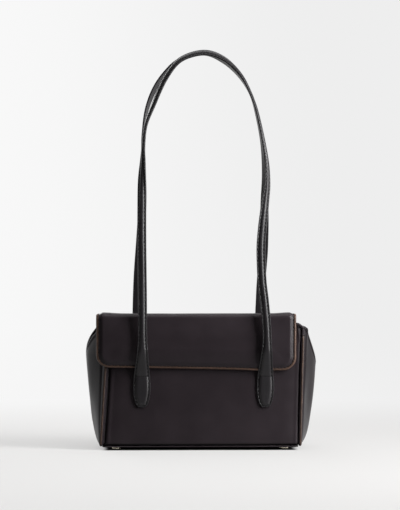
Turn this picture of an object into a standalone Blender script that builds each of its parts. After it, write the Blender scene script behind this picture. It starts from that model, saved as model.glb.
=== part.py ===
"""Shoulder bag in smooth dark leather: a boxy body with folded gussets, a flap that slides
up behind the front strap, and two long padded straps.

The frame: X to the right, Y to the back, Z up, in metres. The origin is on the floor under
the middle of the bag, which stands on four metal feet.
"""

import math

import bmesh
import bpy
from mathutils import Matrix, Vector

FRONT = -1
BACK = 1
LEFT = -1
RIGHT = 1

# Driving dimensions of the whole bag
CLEARANCE = 0.0003
BODY_WIDTH = 0.225
BODY_DEPTH = 0.080
MOUTH_HEIGHT = 0.143

# Body panels: how they lean in, and how the soft front settles to the right
PANEL_THICKNESS = 0.0025
PANEL_LEAN = 0.003
MOUTH_SHIFT = 0.0062
MOUTH_NARROWING = 0.0024

# Base, its board and the feet
FOOT_HEIGHT = 0.0022
FOOT_RADIUS = 0.005
FOOT_FLAT_RADIUS = 0.0034
FOOT_ROUND_SHARE = 0.75
FOOT_SHANK_RADIUS = 0.0013
FOOT_INSET_X = 0.0175
FOOT_INSET_Y = 0.013
FOOT_MERGE_DISTANCE = 0.00005
ROUND_STEPS = 16
WASHER_RADIUS = 0.004
WASHER_THICKNESS = 0.0006
BASE_THICKNESS = 0.0028
BASE_CORNER_RADIUS = 0.006
BOARD_THICKNESS = 0.0015
RUNNING_CLEARANCE = 0.0003

# Corner seams and the bindings of the upper edges
PIPING_RADIUS = 0.0016
PIPING_PROUD = 0.0012
MOUTH_BINDING_HEIGHT = 0.0016
MOUTH_BINDING_DEPTH = 0.0042
GUSSET_BINDING_RADIUS = 0.0013
GUSSET_BINDING_END_SHARE = 0.93

# The gusset's upper edge slopes at up to about 45 degrees, so its binding sits higher over
# the edge than its own radius, by this share of the radius and its clearance
SLOPE_RISE_SHARE = 1.5

# Gussets: how far the fold stands out beyond the corner seams, and how high its tip is
GUSSET_THICKNESS = 0.0018
LEFT_GUSSET_REACH = 0.0243
RIGHT_GUSSET_REACH = 0.0192
LEFT_GUSSET_TIP_HEIGHT = 0.120
RIGHT_GUSSET_TIP_HEIGHT = 0.106
GUSSET_RISE_POWER = 0.42
GUSSET_FOLD_SOFTNESS = 0.12
GUSSET_COLUMNS = 14
GUSSET_ROWS = 10
GUSSET_LINING_INSET = 0.0030
GUSSET_LINING_SIDE_SHARE = 0.86
GUSSET_LINING_TOP_SHARE = 0.97

# Lining and the slip pocket
LINING_THICKNESS = 0.0008
PATCH_THICKNESS = 0.0010
LINING_SIDE_INSET = 0.0035
LINING_TOP_DROP = 0.0005
POCKET_WIDTH = 0.150
POCKET_HEIGHT = 0.085
POCKET_FOOT = 0.030
POCKET_CORNER_RADIUS = 0.008

# Flap: three layers that bend round the front edge of the top
FLAP_SIDE_OVERHANG = 0.00075
FLAP_SHIFT = -0.0048
FLAP_LIFT = 0.0075
FLAP_DROP = 0.0605
FLAP_FRONT_GAP = 0.0012
FLAP_CORNER_RADIUS = 0.009
FLAP_BEND_RADIUS = 0.002
FLAP_BEND_RUN = 0.0015
FLAP_OUTER_THICKNESS = 0.0013
FLAP_STIFFENER_THICKNESS = 0.0010
BEND_STEPS = 6
CORNER_STEPS = 5
STIFFENER_INSET = 0.003

# Magnets of the closure
MAGNET_RADIUS = 0.007
MAGNET_THICKNESS = 0.0009
MAGNET_EDGE_MARGIN = 0.0077

# Straps: section, sewn tab and reinforcing patch
STRAP_WIDTH = 0.010
STRAP_THICKNESS = 0.003
STRAP_MARGIN_THICKNESS = 0.0009
BACKING_THICKNESS = 0.0008
PADDING_FOOT_SHARE = 0.64
PADDING_CROWN_SHARE = 0.40
PADDING_SHOULDER_SHARE = 0.8
FILLER_FOOT_SHARE = 0.50
FILLER_TOP_SHARE = 0.28
STRAP_INSET = 0.0426
SEWN_BELOW_FLAP = 0.006
TAB_LENGTH = 0.0355
TAPER_LENGTH = 0.0795
TAB_WIDTH = 0.019
PATCH_MARGIN = 0.003
PATCH_CORNER_RADIUS = 0.005

# Straps: the arch that they stand in, clear of the flap when it slides up behind them
STRAP_RISE = 0.3668
FLAP_SWING_ROOM = 0.0071
STRAP_STAND_RISE = 0.0112
STRAP_LEAN_RISE = 0.066
STRAP_TOP_REACH = 0.0056
FINE_STEPS = 24
STATION_TURN = math.radians(14)
STATION_LENGTH = 0.035

# Widening of a strap from its plain width to TAB_WIDTH, at shares of TAPER_LENGTH over the
# tab's tip
TAPER_SHARES = (
    (0.00, -0.17),
    (0.05, 0.17),
    (0.12, 0.59),
    (0.22, 0.92),
    (0.31, 1.00),
    (0.45, 0.78),
    (0.59, 0.59),
    (0.80, 0.27),
    (1.00, 0.00),
)

# Each strap's route, foot to foot. X is a share of STRAP_HALF_SPACING, height a share of
# the rise over the sewn line, and the last number is the turn of the face, in degrees,
# from facing away from the bag (0) to facing out of the arch (90).
FRONT_ROUTE_SHARES = (
    (-1.00, 0.000, 0),
    (-0.99, 0.065, 0),
    (-0.99, 0.141, 0),
    (-0.99, 0.233, 0),
    (-1.00, 0.417, 0),
    (-0.99, 0.526, 15),
    (-0.99, 0.597, 45),
    (-0.98, 0.697, 86),
    (-0.94, 0.769, 88),
    (-0.82, 0.832, 80),
    (-0.63, 0.918, 70),
    (-0.37, 0.977, 64),
    (0.02, 1.000, 62),
    (0.38, 0.979, 66),
    (0.67, 0.926, 74),
    (0.84, 0.849, 82),
    (0.93, 0.778, 82),
    (1.01, 0.675, 74),
    (1.03, 0.597, 60),
    (0.99, 0.464, 20),
    (0.99, 0.356, 0),
    (1.00, 0.187, 0),
    (1.01, 0.095, 0),
    (1.00, 0.000, 0),
)
BACK_ROUTE_SHARES = (
    (-1.00, 0.000, 0),
    (-1.03, 0.099, 0),
    (-1.03, 0.195, 0),
    (-1.01, 0.307, 0),
    (-0.97, 0.418, 5),
    (-0.94, 0.529, 35),
    (-0.93, 0.624, 66),
    (-0.93, 0.702, 86),
    (-0.92, 0.755, 88),
    (-0.88, 0.820, 86),
    (-0.77, 0.883, 82),
    (-0.60, 0.936, 80),
    (-0.34, 0.979, 78),
    (0.07, 1.000, 76),
    (0.40, 0.977, 78),
    (0.65, 0.933, 80),
    (0.82, 0.876, 84),
    (0.95, 0.808, 84),
    (1.05, 0.718, 80),
    (1.09, 0.624, 62),
    (1.09, 0.529, 35),
    (1.06, 0.418, 10),
    (1.04, 0.323, 0),
    (1.04, 0.163, 0),
    (1.00, 0.000, 0),
)

# Heights and places that follow from the driving dimensions
BASE_UNDERSIDE = FOOT_HEIGHT + CLEARANCE
BASE_TOP = BASE_UNDERSIDE + BASE_THICKNESS
PANEL_FOOT = BASE_TOP + CLEARANCE
BOARD_UNDERSIDE = PANEL_FOOT
WASHER_UNDERSIDE = BOARD_UNDERSIDE + BOARD_THICKNESS + CLEARANCE
BASE_LINING_UNDERSIDE = WASHER_UNDERSIDE + WASHER_THICKNESS + 2 * CLEARANCE
PATCH_ROOM = PATCH_THICKNESS + 2 * CLEARANCE
GUSSET_REACH = {LEFT: LEFT_GUSSET_REACH, RIGHT: RIGHT_GUSSET_REACH}
GUSSET_TIP_HEIGHT = {LEFT: LEFT_GUSSET_TIP_HEIGHT, RIGHT: RIGHT_GUSSET_TIP_HEIGHT}
FLAP_THICKNESS = (
    LINING_THICKNESS + FLAP_STIFFENER_THICKNESS + FLAP_OUTER_THICKNESS + 2 * CLEARANCE
)
FLAP_WIDTH = BODY_WIDTH + 2 * FLAP_SIDE_OVERHANG
FLAP_UNDERSIDE = MOUTH_HEIGHT + FLAP_LIFT
FLAP_FOOT = FLAP_UNDERSIDE - FLAP_DROP
MAGNET_HEIGHT = (
    FLAP_FOOT + STIFFENER_INSET + MAGNET_EDGE_MARGIN + RUNNING_CLEARANCE + MAGNET_RADIUS
)
FLAP_TOP = FLAP_UNDERSIDE + FLAP_THICKNESS
FLAP_BEND_Z = FLAP_UNDERSIDE - FLAP_BEND_RADIUS
BACK_BEND_RADIUS = FLAP_BEND_RADIUS + FLAP_THICKNESS
STRAP_HALF_SPACING = BODY_WIDTH / 2 - STRAP_INSET
SEWN_HEIGHT = FLAP_FOOT - SEWN_BELOW_FLAP
TAB_TIP_HEIGHT = SEWN_HEIGHT - TAB_LENGTH
TAPER_TOP_HEIGHT = TAB_TIP_HEIGHT + TAPER_LENGTH
STRAP_TOP_HEIGHT = SEWN_HEIGHT + STRAP_RISE
STRAP_STAND_HEIGHT = SEWN_HEIGHT + STRAP_STAND_RISE
STRAP_LEAN_HEIGHT = SEWN_HEIGHT + STRAP_LEAN_RISE
BACKING_LEVEL = BACKING_THICKNESS - STRAP_THICKNESS / 2
STRAP_SEAT_LEVEL = BACKING_LEVEL + CLEARANCE
STRAP_MARGIN_LEVEL = STRAP_SEAT_LEVEL + STRAP_MARGIN_THICKNESS
STRAP_CROWN_LEVEL = STRAP_THICKNESS / 2
STRAP_INNER_CROWN_LEVEL = STRAP_CROWN_LEVEL - STRAP_MARGIN_THICKNESS
GUSSET_BINDING_LIFT = SLOPE_RISE_SHARE * (GUSSET_BINDING_RADIUS + CLEARANCE)

SIDE_NAMES = {LEFT: "left", RIGHT: "right"}
END_NAMES = {FRONT: "front", BACK: "back"}


def clear_scene():
    for obj in list(bpy.data.objects):
        bpy.data.objects.remove(obj, do_unlink=True)
    collection = bpy.data.collections.new("shoulder_bag")
    bpy.context.scene.collection.children.link(collection)
    return collection


def make_finish(name, colour, roughness, metallic=0.0):
    material = bpy.data.materials.new(name)
    material.use_nodes = True
    material.diffuse_color = (*colour, 1.0)
    shader = material.node_tree.nodes["Principled BSDF"]
    shader.inputs["Base Color"].default_value = (*colour, 1.0)
    shader.inputs["Roughness"].default_value = roughness
    shader.inputs["Metallic"].default_value = metallic
    return material


BAG = clear_scene()
LEATHER = make_finish("smooth_dark_leather", (0.024, 0.020, 0.024), 0.48)
GRAIN_LEATHER = make_finish("grained_strap_leather", (0.030, 0.026, 0.030), 0.52)
PAINTED_EDGE = make_finish("brown_painted_edge", (0.110, 0.058, 0.036), 0.45)
LINING = make_finish("dark_lining", (0.030, 0.028, 0.030), 0.85)
BOARD = make_finish("grey_board", (0.200, 0.190, 0.180), 0.80)
FILLER = make_finish("foam_filler", (0.600, 0.600, 0.600), 0.90)
METAL = make_finish("pale_gold_metal", (0.700, 0.640, 0.520), 0.25, 1.0)
MAGNET = make_finish("nickel_magnet", (0.550, 0.550, 0.560), 0.30, 1.0)


def place(name, data, finish):
    """Puts a mesh or curve into the bag's collection as one named part."""
    data.materials.append(finish)
    obj = bpy.data.objects.new(name, data)
    BAG.objects.link(obj)
    return obj


def mesh_from(name, bm):
    mesh = bpy.data.meshes.new(name)
    bm.to_mesh(mesh)
    bm.free()
    return mesh


def sheet(name, rows, thickness, facing, finish):
    """A shell: rows of points on the outer surface, thickened away from `facing`."""
    bm = bmesh.new()
    grid = [[bm.verts.new(point) for point in row] for row in rows]
    for lower, upper in zip(grid, grid[1:]):
        for i in range(len(lower) - 1):
            bm.faces.new((lower[i], lower[i + 1], upper[i + 1], upper[i]))
    bm.normal_update()
    bm.faces.ensure_lookup_table()
    if bm.faces[0].normal.dot(facing) < 0:
        bmesh.ops.reverse_faces(bm, faces=bm.faces)
    obj = place(name, mesh_from(name, bm), finish)
    shell = obj.modifiers.new("thickness", "SOLIDIFY")
    shell.thickness = thickness
    shell.offset = -1
    shell.use_even_offset = True
    return obj


def loft(name, rings, finish):
    """A closed solid through rings of points, all with as many points."""
    bm = bmesh.new()
    layers = [[bm.verts.new(point) for point in ring] for ring in rings]
    count = len(rings[0])
    for lower, upper in zip(layers, layers[1:]):
        for i in range(count):
            after = (i + 1) % count
            bm.faces.new((lower[i], lower[after], upper[after], upper[i]))
    bm.faces.new(layers[0][::-1])
    bm.faces.new(layers[-1])
    bmesh.ops.recalc_face_normals(bm, faces=bm.faces)
    return place(name, mesh_from(name, bm), finish)


def rounded_outline(width, height, radius, steps=CORNER_STEPS):
    """The outline of a rectangle with round corners, about its centre."""
    points = []
    for quarter in range(4):
        start = quarter * math.pi / 2
        x = (width / 2 - radius) * (1 if quarter in (0, 3) else -1)
        y = (height / 2 - radius) * (1 if quarter in (0, 1) else -1)
        for step in range(steps + 1):
            angle = start + step * math.pi / 2 / steps
            points.append((x + radius * math.cos(angle), y + radius * math.sin(angle)))
    return points


def circle(radius, x=0.0, y=0.0):
    turns = [2 * math.pi * step / ROUND_STEPS for step in range(ROUND_STEPS)]
    return [(x + radius * math.cos(turn), y + radius * math.sin(turn)) for turn in turns]


def plate(name, outlines, thickness, centre, tilt, finish):
    """A flat piece: its outline and its holes, lying at `centre` and tilted about X."""
    curve = bpy.data.curves.new(name, "CURVE")
    curve.dimensions = "2D"
    curve.fill_mode = "BOTH"
    curve.extrude = thickness / 2
    for outline in outlines:
        spline = curve.splines.new("POLY")
        spline.points.add(len(outline) - 1)
        for point, (x, y) in zip(spline.points, outline):
            point.co = (x, y, 0, 1)
        spline.use_cyclic_u = True
    obj = place(name, curve, finish)
    obj.rotation_euler = (tilt, 0, 0)
    obj.location = centre
    return obj


def tube(name, points, radius, finish):
    curve = bpy.data.curves.new(name, "CURVE")
    curve.dimensions = "3D"
    curve.bevel_depth = radius
    curve.bevel_resolution = 2
    curve.use_fill_caps = True
    spline = curve.splines.new("POLY")
    spline.points.add(len(points) - 1)
    for point, co in zip(spline.points, points):
        point.co = (*co, 1)
    return place(name, curve, finish)


def pivot(name, co, parent=None):
    """An empty on a joint's axis, which carries the pieces that turn about it."""
    empty = bpy.data.objects.new(name, None)
    BAG.objects.link(empty)
    if parent is not None:
        hang(empty, parent)
    empty.matrix_basis = Matrix.Translation(co)
    return empty


def hang(obj, parent):
    """Parents an object and leaves it where it is."""
    bpy.context.view_layer.update()
    obj.parent = parent
    obj.matrix_parent_inverse = parent.matrix_world.inverted()


def between(a, b, share):
    return a + (b - a) * share


def read_table(table, share):
    """The value that a table of pairs gives at a share, in straight lines between its rows."""
    for (x0, y0), (x1, y1) in zip(table, table[1:]):
        if share <= x1:
            return between(y0, y1, (share - x0) / (x1 - x0))
    return table[-1][1]


# Outer surfaces of the body
def height_share(z):
    return (z - PANEL_FOOT) / (MOUTH_HEIGHT - PANEL_FOOT)


def panel_y(end, z):
    return end * (BODY_DEPTH / 2 - PANEL_LEAN * height_share(z))


def seam_x(side, end, z):
    shift = MOUTH_SHIFT * height_share(z) if end == FRONT else 0
    return side * (BODY_WIDTH / 2 - MOUTH_NARROWING * height_share(z)) + shift


def panel_tilt(end):
    """The tilt about X of a plate that lies against a leaning panel."""
    lean = math.atan(PANEL_LEAN / (MOUTH_HEIGHT - PANEL_FOOT))
    return math.pi / 2 + end * lean


def behind_panel(end, z, depth):
    """Y of a point that lies `depth` inside the panel's outer face."""
    return panel_y(end, z) - end * depth


def gusset_point(side, u, v, inset=0.0):
    """A point of a gusset. u runs from the front seam (-1) to the back seam (1), v upward."""
    tip = GUSSET_TIP_HEIGHT[side]
    top = between(tip, MOUTH_HEIGHT, abs(u))
    z = between(PANEL_FOOT, top, v)
    rise = min(1.0, (z - PANEL_FOOT) / (tip - PANEL_FOOT)) ** GUSSET_RISE_POWER
    soft = GUSSET_FOLD_SOFTNESS
    full = math.hypot(1, soft) - soft
    fold = (math.hypot(1, soft) - math.hypot(u, soft)) / full
    back_share = (u + 1) / 2
    seam = between(seam_x(side, FRONT, z), seam_x(side, BACK, z), back_share)
    edge = PIPING_RADIUS + CLEARANCE
    x = seam + side * (edge + GUSSET_REACH[side] * rise * fold - inset)
    half_depth = BODY_DEPTH / 2 + PIPING_PROUD - 2 * PIPING_RADIUS - CLEARANCE
    y = u * (half_depth - PANEL_LEAN * height_share(z))
    return Vector((x, y, z))


def shares(first, last, count):
    return [between(first, last, i / count) for i in range(count + 1)]


def make_body():
    inset = PIPING_RADIUS + CLEARANCE
    rows = []
    for z in (PANEL_FOOT, MOUTH_HEIGHT):
        left = seam_x(LEFT, FRONT, z) + inset
        right = seam_x(RIGHT, FRONT, z) - inset
        rows.append([(left, panel_y(FRONT, z), z), (right, panel_y(FRONT, z), z)])
    sheet("front_panel", rows, PANEL_THICKNESS, Vector((0, FRONT, 0)), LEATHER)
    rows = []
    for y, z in back_profile():
        left = seam_x(LEFT, BACK, min(z, MOUTH_HEIGHT)) + inset
        right = seam_x(RIGHT, BACK, min(z, MOUTH_HEIGHT)) - inset
        rows.append([(left, y, z), (right, y, z)])
    sheet("back_panel", rows, PANEL_THICKNESS, Vector((0, BACK, 0)), LEATHER)
    for side in (LEFT, RIGHT):
        rows = [
            [gusset_point(side, u, v) for u in shares(-1, 1, GUSSET_COLUMNS)]
            for v in shares(0, 1, GUSSET_ROWS)
        ]
        name = f"gusset_{SIDE_NAMES[side]}"
        sheet(name, rows, GUSSET_THICKNESS, Vector((side, 0, 0)), LEATHER)


def back_bend_centre():
    """Centre of the bend where the back panel turns over to meet the flap."""
    y = panel_y(BACK, MOUTH_HEIGHT) - BACK_BEND_RADIUS
    return y, FLAP_TOP - BACK_BEND_RADIUS


def hinge_y():
    """Y where the back panel ends and the flap begins."""
    return back_bend_centre()[0] - FLAP_BEND_RUN


def back_profile():
    """Outer outline (y, z) of the back panel, from its foot over the bend to the flap."""
    centre_y, centre_z = back_bend_centre()
    profile = [(panel_y(BACK, PANEL_FOOT), PANEL_FOOT), (panel_y(BACK, MOUTH_HEIGHT), MOUTH_HEIGHT)]
    for share in shares(0, 1, BEND_STEPS):
        angle = share * math.pi / 2
        y = centre_y + BACK_BEND_RADIUS * math.cos(angle)
        z = centre_z + BACK_BEND_RADIUS * math.sin(angle)
        profile.append((y, z))
    profile.append((hinge_y(), FLAP_TOP))
    return profile


def make_piping():
    for end in (FRONT, BACK):
        for side in (LEFT, RIGHT):
            points = []
            for z in shares(PANEL_FOOT, MOUTH_HEIGHT, 4):
                y = behind_panel(end, z, PIPING_RADIUS - PIPING_PROUD)
                points.append((seam_x(side, end, z), y, z))
            name = f"corner_piping_{END_NAMES[end]}_{SIDE_NAMES[side]}"
            tube(name, points, PIPING_RADIUS, PAINTED_EDGE)


def make_bindings():
    z = MOUTH_HEIGHT + CLEARANCE
    inset = PIPING_RADIUS + CLEARANCE
    rings = []
    for x in (seam_x(LEFT, FRONT, z) + inset, seam_x(RIGHT, FRONT, z) - inset):
        near = panel_y(FRONT, z)
        far = near + MOUTH_BINDING_DEPTH
        top = z + MOUTH_BINDING_HEIGHT
        rings.append([(x, near, z), (x, far, z), (x, far, top), (x, near, top)])
    loft("mouth_binding_front", rings, LEATHER)
    for side in (LEFT, RIGHT):
        points = []
        for u in shares(-GUSSET_BINDING_END_SHARE, GUSSET_BINDING_END_SHARE, GUSSET_COLUMNS):
            edge = gusset_point(side, u, 1)
            half = GUSSET_THICKNESS / 2
            points.append(edge + Vector((-side * half, 0, GUSSET_BINDING_LIFT)))
        tube(f"gusset_binding_{SIDE_NAMES[side]}", points, GUSSET_BINDING_RADIUS, LEATHER)


def foot_places():
    x = BODY_WIDTH / 2 - FOOT_INSET_X
    y = BODY_DEPTH / 2 - FOOT_INSET_Y
    for end in (FRONT, BACK):
        for side in (LEFT, RIGHT):
            yield f"{END_NAMES[end]}_{SIDE_NAMES[side]}", side * x, end * y


def flat_layer(name, width, depth, underside, thickness, hole_radius, finish):
    """A layer of the base, with a hole for each foot's shank where hole_radius isn't 0."""
    outlines = [rounded_outline(width, depth, BASE_CORNER_RADIUS)]
    if hole_radius:
        outlines += [circle(hole_radius, x, y) for _, x, y in foot_places()]
    centre = (0, 0, underside + thickness / 2)
    return plate(name, outlines, thickness, centre, 0, finish)


def make_base():
    hole = FOOT_SHANK_RADIUS + RUNNING_CLEARANCE
    inner_depth = BODY_DEPTH - 2 * (PANEL_THICKNESS + PATCH_ROOM + LINING_THICKNESS)
    inner_depth -= 2 * (PANEL_LEAN * height_share(BASE_LINING_UNDERSIDE) + CLEARANCE)
    inner_width = BODY_WIDTH - 2 * (GUSSET_THICKNESS + PIPING_RADIUS + CLEARANCE)
    flat_layer(
        "base_panel", BODY_WIDTH, BODY_DEPTH, BASE_UNDERSIDE, BASE_THICKNESS, hole, LEATHER
    )
    flat_layer(
        "base_board", inner_width, inner_depth, BOARD_UNDERSIDE, BOARD_THICKNESS, hole, BOARD
    )
    flat_layer(
        "base_lining", inner_width, inner_depth, BASE_LINING_UNDERSIDE, LINING_THICKNESS, 0, LINING
    )
    for place_name, x, y in foot_places():
        make_foot(f"foot_{place_name}", x, y)
        middle = WASHER_UNDERSIDE + WASHER_THICKNESS / 2
        outlines = [circle(WASHER_RADIUS), circle(hole)]
        plate(f"foot_washer_{place_name}", outlines, WASHER_THICKNESS, (x, y, middle), 0, METAL)


def make_foot(name, x, y):
    """A turned stud: a round head with a flat underside, and a shank through the base."""
    shank_top = WASHER_UNDERSIDE + WASHER_THICKNESS
    round_height = (FOOT_RADIUS - FOOT_FLAT_RADIUS) * FOOT_ROUND_SHARE
    profile = [(0, shank_top), (FOOT_SHANK_RADIUS, shank_top), (FOOT_SHANK_RADIUS, FOOT_HEIGHT)]
    profile.append((FOOT_RADIUS, FOOT_HEIGHT))
    for share in shares(0, 1, 3):
        angle = share * math.pi / 2
        r = between(FOOT_FLAT_RADIUS, FOOT_RADIUS, math.cos(angle))
        profile.append((r, round_height * (1 - math.sin(angle))))
    profile.append((0, 0))
    bm = bmesh.new()
    verts = [bm.verts.new((r, 0, z)) for r, z in profile]
    for lower, upper in zip(verts, verts[1:]):
        bm.edges.new((lower, upper))
    obj = place(name, mesh_from(name, bm), METAL)
    turn = obj.modifiers.new("turned", "SCREW")
    turn.steps = ROUND_STEPS
    turn.render_steps = ROUND_STEPS
    turn.use_merge_vertices = True
    turn.merge_threshold = FOOT_MERGE_DISTANCE
    obj.location = (x, y, 0)


def make_lining():
    for end in (FRONT, BACK):
        depth = PANEL_THICKNESS + PATCH_ROOM
        foot = PANEL_FOOT
        top = MOUTH_HEIGHT - LINING_TOP_DROP
        rows = []
        for z in (foot, top):
            y = behind_panel(end, z, depth)
            left = seam_x(LEFT, end, z) + LINING_SIDE_INSET
            right = seam_x(RIGHT, end, z) - LINING_SIDE_INSET
            rows.append([(left, y, z), (right, y, z)])
        name = f"{END_NAMES[end]}_lining"
        sheet(name, rows, LINING_THICKNESS, Vector((0, end, 0)), LINING)
    for side in (LEFT, RIGHT):
        reach = GUSSET_LINING_SIDE_SHARE
        rows = []
        for v in shares(0, GUSSET_LINING_TOP_SHARE, GUSSET_ROWS // 2):
            row = [
                gusset_point(side, u, v, GUSSET_LINING_INSET)
                for u in shares(-reach, reach, GUSSET_COLUMNS // 2)
            ]
            rows.append(row)
        name = f"gusset_lining_{SIDE_NAMES[side]}"
        sheet(name, rows, LINING_THICKNESS, Vector((side, 0, 0)), LINING)
    z = POCKET_FOOT + POCKET_HEIGHT / 2
    depth = PANEL_THICKNESS + PATCH_ROOM + LINING_THICKNESS + CLEARANCE + LINING_THICKNESS / 2
    outline = rounded_outline(POCKET_WIDTH, POCKET_HEIGHT, POCKET_CORNER_RADIUS)
    centre = (0, behind_panel(BACK, z, depth), z)
    plate("slip_pocket", [outline], LINING_THICKNESS, centre, panel_tilt(BACK), LINING)


# Flap
def drop_y():
    """Y of the drop's inner face, just in front of the front panel."""
    return panel_y(FRONT, FLAP_FOOT) - FLAP_FRONT_GAP


def fold_y():
    """Y where the flap's top ends and its drop begins, just behind the bend."""
    return drop_y() + FLAP_BEND_RADIUS + FLAP_BEND_RUN


def flap_x():
    half = FLAP_WIDTH / 2
    return FLAP_SHIFT - half, FLAP_SHIFT + half


def flap_row(y, z, inset):
    """One row across the flap, drawn in near the lower edge for the round corners."""
    left, right = flap_x()
    over = max(0.0, FLAP_FOOT + FLAP_CORNER_RADIUS - z)
    draw = FLAP_CORNER_RADIUS - math.sqrt(max(0.0, FLAP_CORNER_RADIUS**2 - over**2))
    edge = inset + draw
    return [(left + edge, y, z), (FLAP_SHIFT, y, z), (right - edge, y, z)]


def drop_layer(name, radius, thickness, inset, finish):
    """A layer of the drop: the bend about the fold, then straight down to the flap's foot."""
    centre_y = drop_y() + FLAP_BEND_RADIUS
    rows = [flap_row(fold_y(), FLAP_BEND_Z + radius, inset)]
    for share in shares(0, 1, BEND_STEPS):
        angle = share * math.pi / 2
        y = centre_y - radius * math.sin(angle)
        rows.append(flap_row(y, FLAP_BEND_Z + radius * math.cos(angle), inset))
    for share in shares(1, 0, CORNER_STEPS):
        z = FLAP_FOOT + FLAP_CORNER_RADIUS * share**2
        rows.append(flap_row(centre_y - radius, z, inset))
    return sheet(name, rows, thickness, Vector((0, 0, 1)), finish)


def top_layer(name, top, thickness, inset, finish):
    """A flat layer of the flap's top, between its hinge at the back and the fold."""
    left, right = flap_x()
    near = fold_y() + CLEARANCE
    far = hinge_y() - CLEARANCE
    rows = [[(left + inset, y, top), (right - inset, y, top)] for y in (near, far)]
    return sheet(name, rows, thickness, Vector((0, 0, 1)), finish)


def make_flap():
    hinge = pivot("flap_hinge", (0, hinge_y(), FLAP_TOP))
    fold = pivot("flap_fold", (0, fold_y(), FLAP_UNDERSIDE), hinge)
    lining_top = FLAP_UNDERSIDE + LINING_THICKNESS
    stiffener_top = lining_top + CLEARANCE + FLAP_STIFFENER_THICKNESS
    layers = (
        ("lining", lining_top, LINING_THICKNESS, 0, LINING),
        ("stiffener", stiffener_top, FLAP_STIFFENER_THICKNESS, STIFFENER_INSET, BOARD),
        ("outer", FLAP_TOP, FLAP_OUTER_THICKNESS, 0, LEATHER),
    )
    for name, top, thickness, inset, finish in layers:
        hang(top_layer(f"flap_top_{name}", top, thickness, inset, finish), hinge)
        if name != "stiffener":
            radius = FLAP_BEND_RADIUS + top - FLAP_UNDERSIDE
            hang(drop_layer(f"flap_drop_{name}", radius, thickness, inset, finish), fold)
    hang(make_drop_stiffener(), fold)
    hang(magnet("flap_magnet", stiffener_y(), math.pi / 2), fold)
    y = behind_panel(FRONT, MAGNET_HEIGHT, PANEL_THICKNESS + PATCH_ROOM / 2)
    magnet("panel_magnet", y, panel_tilt(FRONT))


def stiffener_y():
    """Y of the middle of the drop's stiffener and of the magnet in it."""
    return drop_y() - LINING_THICKNESS - CLEARANCE - FLAP_STIFFENER_THICKNESS / 2


def make_drop_stiffener():
    """The board inside the drop, with a round hole that holds the magnet."""
    top = FLAP_BEND_Z
    foot = FLAP_FOOT + STIFFENER_INSET
    height = top - foot
    middle = (top + foot) / 2
    outline = rounded_outline(FLAP_WIDTH - 2 * STIFFENER_INSET, height, FLAP_CORNER_RADIUS)
    hole = circle(MAGNET_RADIUS + RUNNING_CLEARANCE, -FLAP_SHIFT, MAGNET_HEIGHT - middle)
    centre = (FLAP_SHIFT, stiffener_y(), middle)
    outlines = [outline, hole]
    return plate("flap_drop_stiffener", outlines, FLAP_STIFFENER_THICKNESS, centre, math.pi / 2, BOARD)


def magnet(name, y, tilt):
    outline = circle(MAGNET_RADIUS)
    return plate(name, [outline], MAGNET_THICKNESS, (0, y, MAGNET_HEIGHT), tilt, MAGNET)


# Straps
def strap_width(z):
    share = (z - TAB_TIP_HEIGHT) / TAPER_LENGTH
    return between(STRAP_WIDTH, TAB_WIDTH, read_table(TAPER_SHARES, share))


def seat_reach(z):
    """How far the middle of a strap's thickness stands from the bag's middle on a panel."""
    return abs(panel_y(FRONT, z)) + CLEARANCE + STRAP_THICKNESS / 2


def strap_reach(z):
    """The same all along a strap: out over the flap, straight up, then leaning back."""
    flap_face = FLAP_THICKNESS - drop_y()
    stand = flap_face + FLAP_SWING_ROOM + STRAP_THICKNESS / 2
    if z < STRAP_STAND_HEIGHT:
        share = (z - SEWN_HEIGHT) / STRAP_STAND_RISE
        return between(seat_reach(SEWN_HEIGHT), stand, share**2 * (3 - 2 * share))
    if z < STRAP_LEAN_HEIGHT:
        return stand
    share = (z - STRAP_LEAN_HEIGHT) / (STRAP_TOP_HEIGHT - STRAP_LEAN_HEIGHT)
    return between(stand, STRAP_TOP_REACH, min(1.0, share))


def strap_middle(end):
    """X midway between a strap's two feet, which follow the panel that they are sewn to."""
    return (seam_x(LEFT, end, SEWN_HEIGHT) + seam_x(RIGHT, end, SEWN_HEIGHT)) / 2


def smooth_rows(rows, steps):
    """A smooth curve through rows of numbers, with `steps` samples to each stretch."""
    padded = [rows[0], *rows, rows[-1]]
    samples = []
    for before, start, stop, after in zip(padded, padded[1:], padded[2:], padded[3:]):
        for step in range(steps):
            t = step / steps
            sample = []
            for p0, p1, p2, p3 in zip(before, start, stop, after):
                slope = (p2 - p0) / 2
                end_slope = (p3 - p1) / 2
                lift = 2 * t**3 - 3 * t**2
                value = p1 * (1 + lift) - p2 * lift
                value += slope * (t**3 - 2 * t**2 + t) + end_slope * (t**3 - t**2)
                sample.append(value)
            samples.append(sample)
    samples.append(list(rows[-1]))
    return samples


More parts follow.
